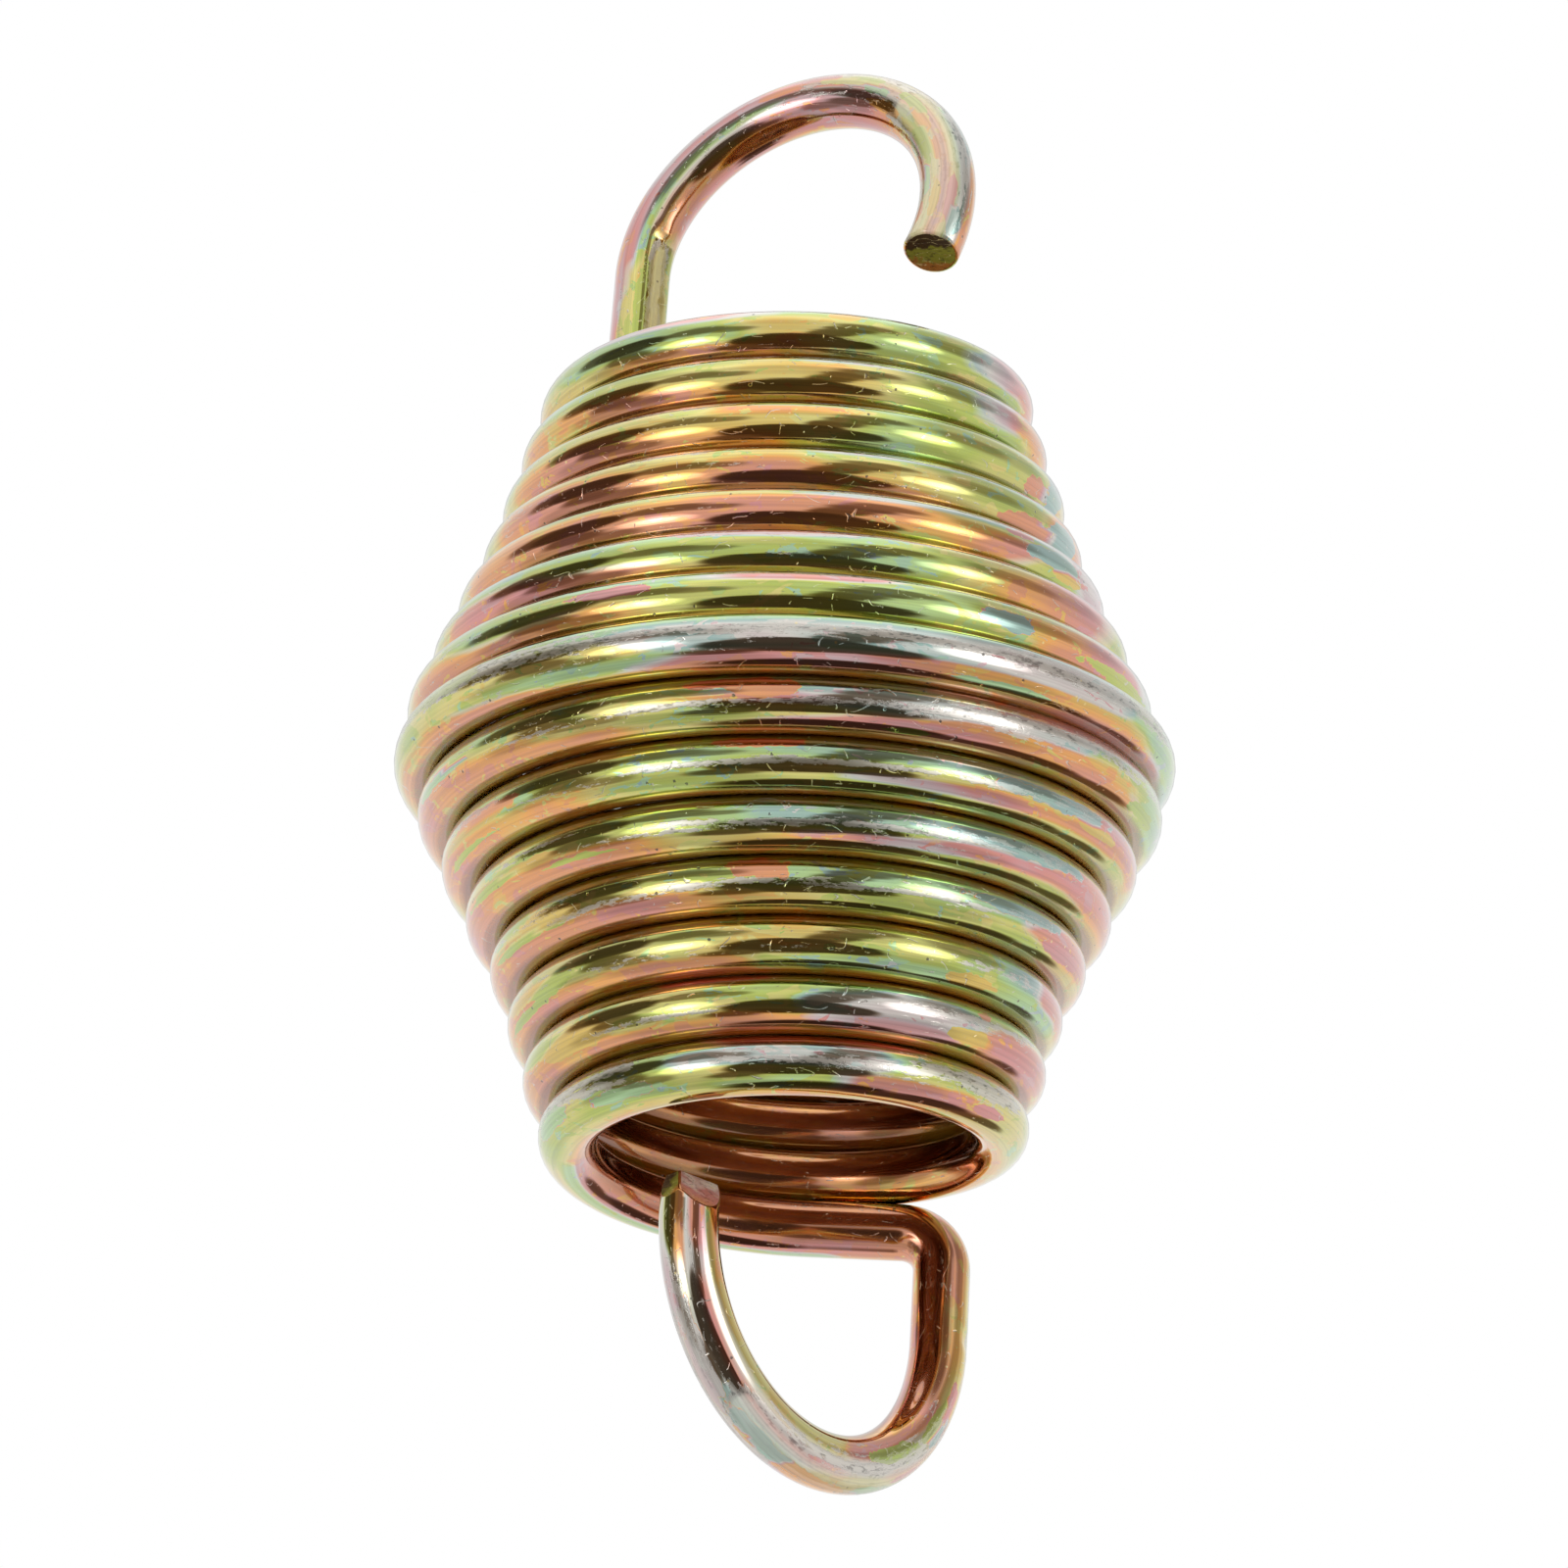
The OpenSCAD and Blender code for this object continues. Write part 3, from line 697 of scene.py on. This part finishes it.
# The end of the wire that the shears may touch: from inside to outside of the tip, and aside of it.
TIP_IN, TIP_OUT, TIP_ASIDE = -0.006, 0.0075, 0.0032
# The rounded rim of a cut in two steps, with the share of its width and of its height in each.
RIM_STEPS = ((0.35, 0.65), (0.65, 0.35))


def of_tip(point, spot, way):
    """Tells whether a point lies on the last few millimetres of the wire."""
    up = (point - spot).dot(way)
    return TIP_IN < up < TIP_OUT and (point - spot - way * up).length < TIP_ASIDE


def near_tip(mesh, spot, way):
    """Selects the faces of a tip, and no others."""
    for face in mesh.faces:
        face.select_set(of_tip(face.calc_center_median(), spot, way))
    mesh.select_flush_mode()


def shear_tip(obj, spot, way, cuts, rim, rise):
    """Shears the wire off at a tip. Each cut has a point, the way that its face looks and the
    number of the face's material. Round each face the plating goes on over a rounded rim."""
    pick(obj)
    bpy.ops.object.mode_set(mode="EDIT")
    for point, normal, finish in cuts:
        normal = normal.normalized()
        mesh = bmesh.from_edit_mesh(obj.data)
        near_tip(mesh, spot, way)
        bmesh.update_edit_mesh(obj.data)
        point = point - normal * rise
        bpy.ops.mesh.bisect(plane_co=point, plane_no=normal, use_fill=True, clear_outer=True,
                            threshold=TINY)
        mesh = bmesh.from_edit_mesh(obj.data)
        caps = [f for f in mesh.faces if len(f.verts) > 4 and of_tip(f.calc_center_median(), spot, way)
                and all(abs((v.co - point).dot(normal)) < 5 * TINY for v in f.verts)]
        if len(caps) != 1:
            raise RuntimeError(f"a cut of a tip left {len(caps)} faces, not 1")
        caps[0].material_index = finish
    mesh = bmesh.from_edit_mesh(obj.data)
    caps = [f for f in mesh.faces if f.material_index and of_tip(f.calc_center_median(), spot, way)]
    for cap in caps:
        finish = cap.material_index
        for wide, high in RIM_STEPS:
            ring = bmesh.ops.inset_region(mesh, faces=[cap], thickness=rim * wide, depth=rise * high,
                                          use_even_offset=False, use_boundary=True)["faces"]
            for face in ring:
                face.material_index = 0
        cap.material_index = finish
    bmesh.update_edit_mesh(obj.data)
    bpy.ops.object.mode_set(mode="OBJECT")


def unrolled_map(obj, total):
    """A map of the unrolled wire: the way along it, and the way round it."""
    places = obj.data.attributes["wire_place"].data
    layer = obj.data.uv_layers[0] if obj.data.uv_layers else obj.data.uv_layers.new(name="wire")
    layer.name = "wire"
    for face in obj.data.polygons:
        spots = [places[k].vector for k in face.vertices]
        rounds = [math.atan2(up, across) / (2 * math.pi) + 0.5 for _, across, up in spots]
        split = max(rounds) - min(rounds) > 0.5
        for k, (way, _, _), turn in zip(face.loop_indices, spots, rounds):
            layer.data[k].uv = (way / total, turn + 1 if split and turn < 0.5 else turn)


# Materials

def rgba(values):
    return (*values, 1)


class Nodes:
    """Short ways to add nodes to a tree and join them."""

    def __init__(self, tree):
        self.tree = tree

    def add(self, kind, values=None, **settings):
        node = self.tree.nodes.new(kind)
        for name, value in settings.items():
            setattr(node, name, value)
        for name, value in (values or {}).items():
            self.put(node.inputs[name], value)
        return node

    def put(self, socket, value):
        if isinstance(value, bpy.types.NodeSocket):
            self.tree.links.new(value, socket)
        else:
            socket.default_value = value

    def math(self, operation, *values, clamp=False):
        node = self.add("ShaderNodeMath", operation=operation, use_clamp=clamp)
        for socket, value in zip(node.inputs, values):
            self.put(socket, value)
        return node.outputs[0]

    def split(self, vector):
        return tuple(self.add("ShaderNodeSeparateXYZ", {"Vector": vector}).outputs)

    def stored(self, name):
        return self.add("ShaderNodeAttribute", attribute_name=name).outputs

    def stretch(self, vector, scale):
        node = self.add("ShaderNodeVectorMath", operation="MULTIPLY")
        self.put(node.inputs[0], vector)
        node.inputs[1].default_value = scale
        return node.outputs[0]

    def noise(self, vector, scale, detail=2, roughness=0.5, distortion=0):
        return self.add("ShaderNodeTexNoise", {
            "Vector": vector, "Scale": scale, "Detail": detail, "Roughness": roughness,
            "Distortion": distortion}).outputs[0]

    def step(self, value, low, high, out_low=0.0, out_high=1.0):
        return self.add("ShaderNodeMapRange", {
            "Value": value, "From Min": low, "From Max": high, "To Min": out_low,
            "To Max": out_high}).outputs[0]

    def sway(self, value, size):
        """Turns noise into a value that wavers about 0."""
        return self.step(value, 0.3, 0.7, -size, size)

    def level(self, share, first, second):
        node = self.add("ShaderNodeMix", data_type="FLOAT")
        self.put(node.inputs[0], share)
        self.put(node.inputs[2], first)
        self.put(node.inputs[3], second)
        return node.outputs[0]

    def mix(self, share, first, second, kind="MIX"):
        node = self.add("ShaderNodeMix", data_type="RGBA", blend_type=kind)
        self.put(node.inputs[0], share)
        self.put(node.inputs[6], first)
        self.put(node.inputs[7], second)
        return node.outputs[2]


def new_material(name):
    """A material, what adds nodes to it, and the inputs of its shader."""
    material = bpy.data.materials.new(name)
    material.use_nodes = True
    return material, Nodes(material.node_tree), material.node_tree.nodes["Principled BSDF"].inputs


def new_group(name, given, gives):
    """A node group with no effect yet: what adds nodes to it, what it is given, what it puts out."""
    tree = bpy.data.node_groups.new(name, "ShaderNodeTree")
    for sockets, way in ((given, "INPUT"), (gives, "OUTPUT")):
        for title, kind in sockets.items():
            tree.interface.new_socket(title, in_out=way, socket_type="NodeSocket" + kind)
    n = Nodes(tree)
    return n, n.add("NodeGroupInput").outputs, n.add("NodeGroupOutput").inputs


def pale_floor(studio):
    material, _, shader = new_material("pale floor")
    shader["Base Color"].default_value = rgba(studio.floor)
    shader["Roughness"].default_value = 0.8
    shader["Specular IOR Level"].default_value = 0.2
    return material


# Scales of the noise in the plating, per metre: on the wire they are along it, outward and up.
DRIFT, PITTED = 95, 850
STREAK = (75, 420, 420)
PATCH = (150, 330, 330)
FLECK = (360, 720, 720)
TORN = (420, 620, 620)
GRAIN = (900, 2600, 2600)
RUB = (110, 1500, 1500)
DRAWN = (22, 3300, 3300)
SCRATCHES = ((420, 120, 900), (300, 900, -260))
# The same on the cut faces, along the axes of the whole spring.
CUT_BROAD = 700
CUT_GRAIN = (1400, 2600, 5200)
CUT_SCORES = (260, 900, 2400)


def hair_line():
    """Node group for thin lines, as scratches and scores leave them: where noise is at its middle."""
    n, given, result = new_group(
        "hair line", {"Place": "Vector", "Detail": "Float", "Core": "Float", "Edge": "Float"},
        {"Line": "Float"})
    off = n.math("ABSOLUTE", n.math("SUBTRACT", n.noise(given["Place"], 1, given["Detail"]), 0.5))
    n.put(result["Line"], n.step(off, given["Core"], given["Edge"], 1, 0))
    return n.tree


def film_colour(n, colours, film):
    """Colour of the film by its thickness. It goes round, so that the thickest film is like thin film."""
    ramp = n.add("ShaderNodeValToRGB", {"Fac": n.math("FRACT", film)})
    ramp.color_ramp.elements.remove(ramp.color_ramp.elements[1])
    ramp.color_ramp.elements[0].color = rgba(colours.leaf)
    for name, spot in list(FILM.items())[1:]:
        ramp.color_ramp.elements.new(spot).color = rgba(getattr(colours, name))
    ramp.color_ramp.elements.new(1).color = rgba(colours.leaf)
    return ramp.outputs[0]


def scratched(n, place, hair):
    """Short hair scratches, in two slants to the wire."""
    both = []
    for slant in SCRATCHES:
        line = n.add("ShaderNodeGroup", {
            "Place": n.stretch(place, slant), "Detail": 0, "Core": 0.003, "Edge": 0.009},
            node_tree=hair).outputs["Line"]
        short = n.step(n.noise(n.stretch(place, [2.6 * v for v in slant]), 1, 0), 0.62, 0.66)
        both.append(n.math("MULTIPLY", line, short))
    return n.math("MAXIMUM", *both)


def plating(colours, hair):
    """Yellow zinc plating: a clear film whose thickness shows as runs and stains of colour,
    scuffed down to silver here and there, with hair scratches and pits, painted shade in the grooves
    between turns, copper-brown painted shade inside the coil and on the hooks, and a pale painted
    highlight where it is brushed dull."""
    material, n, shader = new_material("yellow zinc plating")
    place = n.stored("wire_place")["Vector"]
    solid = n.add("ShaderNodeTexCoord").outputs["Object"]
    film_x, film_y, gone = n.split(n.stored("film")["Vector"])
    stain, cover, groove = n.split(n.stored("stain")["Vector"])
    copper = n.stored("copper")["Fac"]
    streak = n.noise(n.stretch(place, STREAK), 1, 2, 0.5, 0.3)
    patch = n.noise(n.stretch(place, PATCH), 1, 3, 0.6, 0.5)
    fleck = n.noise(n.stretch(place, FLECK), 1, 3, 0.6, 0.8)
    torn = n.noise(n.stretch(place, TORN), 1, 3, 0.62)
    grain = n.noise(n.stretch(place, GRAIN), 1, 3, 0.7)
    rub = n.noise(n.stretch(place, RUB), 1, 2, 0.6)
    drawn = n.noise(n.stretch(place, DRAWN), 1, 1, 0.6)

    # film thickness: runs drift softly, and step where the film dried in patches and flecks
    film = n.math("DIVIDE", n.math("ARCTAN2", film_y, film_x), 2 * math.pi)
    film = n.math("ADD", film, n.sway(n.noise(solid, DRIFT, 1, 0.5), 0.05))
    film = n.math("ADD", film, n.sway(streak, 0.05))
    film = n.math("ADD", film, n.step(patch, 0.585, 0.597, 0.0, 0.07))
    film = n.math("SUBTRACT", film, n.step(patch, 0.385, 0.397, 0.07, 0.0))
    film = n.math("SUBTRACT", film, n.step(fleck, 0.625, 0.635, 0.0, 0.15))

    # a stain has a film of its own, up to its torn edge
    edge = n.math("ADD", cover, n.step(torn, 0.2, 0.8, -0.22, 0.22))
    inside = n.step(edge, 0.485, 0.515)
    film = n.level(inside, film, n.math("ADD", stain, n.sway(streak, 0.03)))

    # where runs of different film meet, or a run is bare, the zinc shows through
    full = n.math("ADD", n.math("MULTIPLY", film_x, film_x), n.math("MULTIPLY", film_y, film_y))
    full = n.math("SQRT", full)
    full = n.math("ADD", full, n.math("ADD", inside, n.sway(streak, 0.12)))
    tint = n.mix(n.step(full, 0.0, 0.4), rgba(colours.silver), film_colour(n, colours, film))
    # painted shade: the copper-brown inside the coil and on the hooks, broken up by the streaks
    brown = n.math("ADD", copper, n.step(streak, 0.35, 0.65, -0.55, 0.0), clamp=True)
    tint = n.mix(brown, tint, rgba(colours.copper))

    # scuffs: grainy, drawn out along the wire, and dull where they are heavy, with a pale painted
    # highlight mixed into the colour there
    worn = n.math("ADD", n.step(gone, 0.0, 1.0, -0.5, 0.4), n.step(grain, 0.25, 0.75, -0.4, 0.4))
    worn = n.step(n.math("ADD", worn, n.sway(rub, 0.4)), -0.05, 0.15)
    shaded = rgba([c * 0.28 for c in colours.silver])
    zinc = n.mix(n.step(grain, 0.38, 0.48), shaded, rgba(colours.silver))
    dull = n.step(gone, 0.95, 1.25, 0, 0.8)
    kept = n.math("SUBTRACT", n.step(inside, 0, 1, 0.85, 0.4), n.math("MULTIPLY", dull, 0.72))
    tint = n.mix(n.math("MULTIPLY", worn, kept), tint, zinc)
    tint = n.mix(n.math("MULTIPLY", dull, 0.36), tint, rgba(colours.painted_highlight))

    # fine lines from the drawing die, hair scratches, pits, flaked specks, and the painted shade of the
    # grooves between turns
    scratches = scratched(n, place, hair)
    cells = n.add("ShaderNodeTexVoronoi", {"Vector": solid, "Scale": PITTED, "Randomness": 1})
    small = n.step(cells.outputs["Distance"], 0.07, 0.14, 1, 0)
    which, other, _ = n.split(cells.outputs["Color"])
    pits = n.math("MULTIPLY", n.step(which, 0.86, 0.87), small)
    specks = n.math("MULTIPLY", n.step(other, 0.86, 0.87), small)
    lined = n.step(drawn, 0.35, 0.6, 0.85, 1.05)
    lined = n.add("ShaderNodeCombineColor", {"Red": lined, "Green": lined, "Blue": lined}).outputs[0]
    tint = n.mix(1, tint, lined, "MULTIPLY")
    tint = n.mix(n.math("MULTIPLY", scratches, 0.6), tint, rgba(colours.silver))
    tint = n.mix(n.math("MULTIPLY", specks, 0.7), tint, rgba(colours.speck))
    tint = n.mix(n.math("MULTIPLY", pits, 0.8), tint, rgba(colours.pit))
    # painted shade between the turns: the colour darkens towards the groove, and the metal shines less
    # there
    groove_shade_share = n.step(n.math("ADD", groove, n.sway(streak, 0.12)), 0.3, 0.85)
    n.put(shader["Base Color"], n.mix(groove_shade_share, tint, rgba(colours.painted_groove_shade), "MULTIPLY"))

    soft = n.math("MAXIMUM", dull, n.math("MULTIPLY", groove_shade_share, 0.6))
    n.put(shader["Metallic"], n.math("SUBTRACT", 1, soft))
    shader["Coat Weight"].default_value = 1
    shader["Coat Roughness"].default_value = 0.03
    shader["Coat IOR"].default_value = 1.7
    haze = n.math("ADD", n.step(patch, 0.35, 0.65, 0.06, 0.11), n.step(copper, 0, 1, 0, 0.08))
    haze = n.math("ADD", haze, n.math("MULTIPLY", dull, 0.35))
    n.put(shader["Roughness"], n.math("ADD", haze, n.step(worn, 0, 1, 0, 0.28)))
    height = n.math("SUBTRACT", n.math("MULTIPLY", n.math("MULTIPLY", grain, worn), 0.8), scratches)
    height = n.math("SUBTRACT", height, n.math("MULTIPLY", pits, 3))
    height = n.math("ADD", height, n.math("MULTIPLY", drawn, 0.5))
    bump = n.add("ShaderNodeBump", {"Height": height, "Strength": 0.6, "Distance": 0.00003})
    n.put(shader["Normal"], bump.outputs["Normal"])
    return material


def cut_face(hair):
    """Node group for a cut face, grained and scored, with the films of its front, its middle and
    its back, which part at two distances forward of the middle of the wire."""
    n, given, result = new_group(
        "cut face", {"Front": "Color", "Middle": "Color", "Back": "Color", "Pits": "Color",
                     "Scores": "Color", "Front At": "Float", "Back At": "Float", "Fade": "Float"},
        {"Tint": "Color", "Grain": "Float", "Height": "Float"})
    solid = n.add("ShaderNodeTexCoord").outputs["Object"]
    broad = n.noise(solid, CUT_BROAD, 3, 0.6, 0.6)
    grain = n.noise(n.stretch(solid, CUT_GRAIN), 1, 3, 0.7)
    scored = n.add("ShaderNodeGroup", {
        "Place": n.stretch(solid, CUT_SCORES), "Detail": 1, "Core": 0.004, "Edge": 0.012},
        node_tree=hair).outputs["Line"]
    forward = n.math("ADD", n.split(n.stored("wire_place")["Vector"])[2], n.sway(broad, 0.0009))
    tint = given["Back"]
    for spot, film in (("Back At", "Middle"), ("Front At", "Front")):
        low, high = (n.math(way, given[spot], given["Fade"]) for way in ("SUBTRACT", "ADD"))
        tint = n.mix(n.step(forward, low, high), tint, given[film])
    tint = n.mix(n.step(grain, 0.36, 0.46, 0.6, 0), tint, given["Pits"])
    tint = n.mix(n.math("MULTIPLY", scored, n.step(grain, 0.46, 0.52, 0, 0.7)), tint, given["Scores"])
    n.put(result["Tint"], tint)
    n.put(result["Grain"], grain)
    n.put(result["Height"], n.math("SUBTRACT", n.math("ADD", grain, broad), scored))
    return n.tree


def cut_steel(name, face, colours, films, front_at, back_at, fade, metallic, roughness):
    """Steel of a cut face, with the films of its front, its middle and its back."""
    material, n, shader = new_material(name)
    front, middle, back = films
    cut = n.add("ShaderNodeGroup", {
        "Front": rgba(front), "Middle": rgba(middle), "Back": rgba(back), "Pits": rgba(colours.pit),
        "Scores": rgba(colours.speck), "Front At": front_at, "Back At": back_at, "Fade": fade},
        node_tree=face).outputs
    n.put(shader["Base Color"], cut["Tint"])
    shader["Metallic"].default_value = metallic
    n.put(shader["Roughness"], n.step(cut["Grain"], 0.3, 0.7, roughness - 0.06, roughness + 0.06))
    bump = n.add("ShaderNodeBump", {"Height": cut["Height"], "Strength": 0.5, "Distance": 0.00005})
    n.put(shader["Normal"], bump.outputs["Normal"])
    return material


# Light that the metal mirrors, as a tent round the spring. Each zone is a round area of the
# tent: degrees away from the line to the camera, degrees round that line from the right hand
# and upward, where it is full, where it ends, and its brightness.
TENT = (
    ("top of the tent", 98, 90, 18, 38, 1.30),
    ("top of the tent, behind", 126, 90, 14, 30, 1.30),
    ("gap between the lamps", 62, 90, 8, 36, 0.95),
    ("low front, left", 58, 235, 14, 34, 0.66),
    ("low front, right", 58, 320, 14, 34, 0.66),
    ("dim right side", 116, 34, 16, 34, 0.66),
    ("dim left side", 84, 200, 6, 22, 0.62),
    ("dim edge of the left lamp", 62, 196, 8, 18, 0.36),
    ("dark seam above the right lamp, near", 42, 58, 6, 15, 0.20),
    ("dark seam above the right lamp", 58, 60, 7, 16, 0.22),
    ("dark seam above the right lamp, far", 76, 60, 6, 18, 0.30),
    ("dark seam above the left lamp", 56, 118, 5, 15, 0.36),
    ("dark seam above the left lamp, far", 70, 128, 9, 18, 0.28),
    ("dark corner on the left, far", 104, 158, 8, 20, 0.16),
    ("dark corner on the left", 88, 154, 14, 24, 0.08),
    ("dark corner on the left, near", 76, 180, 8, 18, 0.22),
    ("grey corner on the right", 98, 30, 8, 24, 0.42),
    ("left lamp, inner edge", 32, 172, 3, 11, 1.10),
    ("left lamp", 46, 164, 9, 18, 2.30),
    ("left lamp, bulb", 46, 164, 2, 11, 4.60),
    ("right lamp, inner edge", 47, 26, 4, 13, 1.00),
    ("right lamp", 64, 20, 9, 19, 2.20),
    ("right lamp, bulb", 64, 20, 2, 12, 4.20),
    ("dark seam above the right lamp, end", 33, 55, 7, 14, 0.16),
    ("dark room behind the camera", 4, 300, 24, 32, 0.07),
    ("dark room behind the camera, right", 24, 335, 13, 22, 0.08),
    ("dark floor of that room", 33, 235, 5, 16, 0.14),
    ("dark table under the spring", 76, 276, 13, 24, 0.05),
    ("dark table under the spring, right", 98, 292, 10, 20, 0.08),
    ("dark table under the spring, far", 118, 298, 5, 14, 0.15),
    ("dim room behind the spring", 172, 90, 10, 24, 0.70),
)


TENT_BASE = 0.92  # brightness where there is no zone
TENT_EDGE = 0.15  # share of a zone's soft edge that is taken off at each end of it
# The dark places are a warm brown, given as shares of red, green and blue. It is full up to the
# first brightness, and gone from the second.
DARK_PLACES = (1.0, 0.74, 0.52)
BROWN_TO, WHITE_FROM = 0.1, 0.6


def tent(studio, tree):
    """World light: plain for all that looks straight at it, the tent for the shine of metal."""
    n = Nodes(tree)
    x, y, back = camera_ways(studio)
    look = n.add("ShaderNodeTexCoord").outputs["Generated"]
    light = TENT_BASE
    for _, away, around, full, ends, bright in TENT:
        a, r = math.radians(away), math.radians(around)
        near = n.add("ShaderNodeVectorMath", operation="DOT_PRODUCT")
        n.put(near.inputs[0], look)
        near.inputs[1].default_value = (
            back * math.cos(a) + (x * math.cos(r) + y * math.sin(r)) * math.sin(a))
        soft = TENT_EDGE * (ends - full)
        share = n.add("ShaderNodeMapRange", {
            "Value": near.outputs["Value"], "From Min": math.cos(math.radians(ends - soft)),
            "From Max": math.cos(math.radians(full + soft))}, interpolation_type="SMOOTHSTEP").outputs[0]
        light = n.level(share, light, bright)
    shine = n.add("ShaderNodeLightPath").outputs["Is Glossy Ray"]
    background = tree.nodes["Background"]
    n.put(background.inputs["Strength"], n.level(shine, 1, light))
    brown = n.math("MULTIPLY", n.step(light, BROWN_TO, WHITE_FROM, 1, 0), shine)
    n.put(background.inputs["Color"], n.mix(brown, (1, 1, 1, 1), rgba(DARK_PLACES)))


def camera_ways(studio):
    """Right, up and backward for the camera."""
    back = Vector((0, -math.cos(studio.rise), math.sin(studio.rise)))
    up = Vector((0, math.sin(studio.rise), math.cos(studio.rise)))
    right = Vector((1, 0, 0))
    return (right * math.cos(studio.roll) + up * math.sin(studio.roll),
            up * math.cos(studio.roll) - right * math.sin(studio.roll), back)


class SPRING_OT_camera(bpy.types.Operator):
    """Sets the camera below the spring, looking up at it"""
    bl_idname = "spring.camera"
    bl_label = "Set the camera"

    def execute(self, context):
        s = context.scene.spring_studio
        data = bpy.data.cameras.new("camera")
        data.lens = s.lens
        data.sensor_width = 36
        data.clip_start = 0.01
        camera = bpy.data.objects.new("camera", data)
        x, y, back = camera_ways(s)
        spot = Vector(s.aim) + back * s.distance
        camera.matrix_world = Matrix([(x[i], y[i], back[i], spot[i]) for i in range(3)] + [(0, 0, 0, 1)])
        context.scene.collection.objects.link(camera)
        context.scene.camera = camera
        return {"FINISHED"}


class SPRING_OT_wire(bpy.types.Operator):
    """Winds the barrel of wire with its two hooks, shears its tips and plates it"""
    bl_idname = "spring.wire"
    bl_label = "Wind the wire"

    def execute(self, context):
        s, colours = context.scene.spring_sizes, context.scene.spring_colours
        line = wire_line(s)
        wire = sweep_wire("wire", line["points"], s.wire_d / 2)
        along = place_wire(wire, line)
        hair = hair_line()
        face = cut_face(hair)
        finishes = [plating(colours, hair)]
        # On the polished face of the lower cut the back is painted with the pale highlight colour.
        films = ((colours.rust, colours.sheared, colours.torn),
                 (colours.salmon, colours.rose, colours.painted_highlight))
        for (name, values), three in zip(CUT_FINISHES.items(), films):
            finishes.append(cut_steel(name, face, colours, three, *values))
        wire.data.materials.clear()
        for finish in finishes:
            wire.data.materials.append(finish)

        spot, way = line["upper_tip"]
        shear_tip(wire, spot, way, [(spot, Vector(UPPER_CUT), 1)], *UPPER_RIM)
        spot, way = line["lower_tip"]
        front = Vector((0, -1, 0))
        front = (front - way * front.dot(way)).normalized()
        aside = front.cross(way)
        axes = Matrix((aside * math.copysign(1, aside.x), front, way)).transposed()
        cuts = [(spot + axes @ Vector(point) / 1000, axes @ Vector(look), finish)
                for point, look, finish in LOWER_CUTS]
        shear_tip(wire, spot, way, cuts, *LOWER_RIM)
        unrolled_map(wire, along[-1])
        pick(wire)
        bpy.ops.object.shade_smooth_by_angle(angle=math.radians(SHARP))
        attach(wire, "root")
        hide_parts("spring_wire")
        return {"FINISHED"}


class SPRING_OT_stage(bpy.types.Operator):
    """Lays the floor and puts the light tent round the spring"""
    bl_idname = "spring.stage"
    bl_label = "Set the stage"

    def execute(self, context):
        s = context.scene.spring_studio
        alone()
        bpy.ops.mesh.primitive_plane_add(size=6, location=(0, 0, s.floor_drop))
        floor = context.object
        floor.name = "floor"
        floor.visible_glossy = False
        floor.data.materials.append(pale_floor(s))
        world = bpy.data.worlds.new("studio")
        world.use_nodes = True
        context.scene.world = world
        tent(s, world.node_tree)
        context.scene.view_settings.view_transform = "Standard"
        return {"FINISHED"}


class SPRING_PT_panel(bpy.types.Panel):
    """Sizes, colours and the steps that make the spring"""
    bl_label = "Brake return spring"
    bl_idname = "SPRING_PT_panel"
    bl_space_type = "VIEW_3D"
    bl_region_type = "UI"
    bl_category = "Spring"

    def draw(self, context):
        for step in STEPS:
            self.layout.operator(step.bl_idname)
        for title, group in GROUPS.items():
            box = self.layout.box()
            for name in group.__annotations__:
                box.prop(getattr(context.scene, title), name)


GROUPS = {"spring_sizes": SpringSizes, "spring_colours": PlatingColours, "spring_studio": StudioSettings}
STEPS = (SPRING_OT_camera, SPRING_OT_wire, SPRING_OT_stage)
CLASSES = (*GROUPS.values(), *STEPS, SPRING_PT_panel)


def register():
    for item in CLASSES:
        bpy.utils.register_class(item)
    for title, group in GROUPS.items():
        setattr(bpy.types.Scene, title, bpy.props.PointerProperty(type=group))


def unregister():
    for title in GROUPS:
        delattr(bpy.types.Scene, title)
    for item in reversed(CLASSES):
        bpy.utils.unregister_class(item)


def main():
    register()
    bpy.ops.spring.camera()
    bpy.ops.spring.wire()
    bpy.ops.spring.stage()


if __name__ == "__main__":
    main()
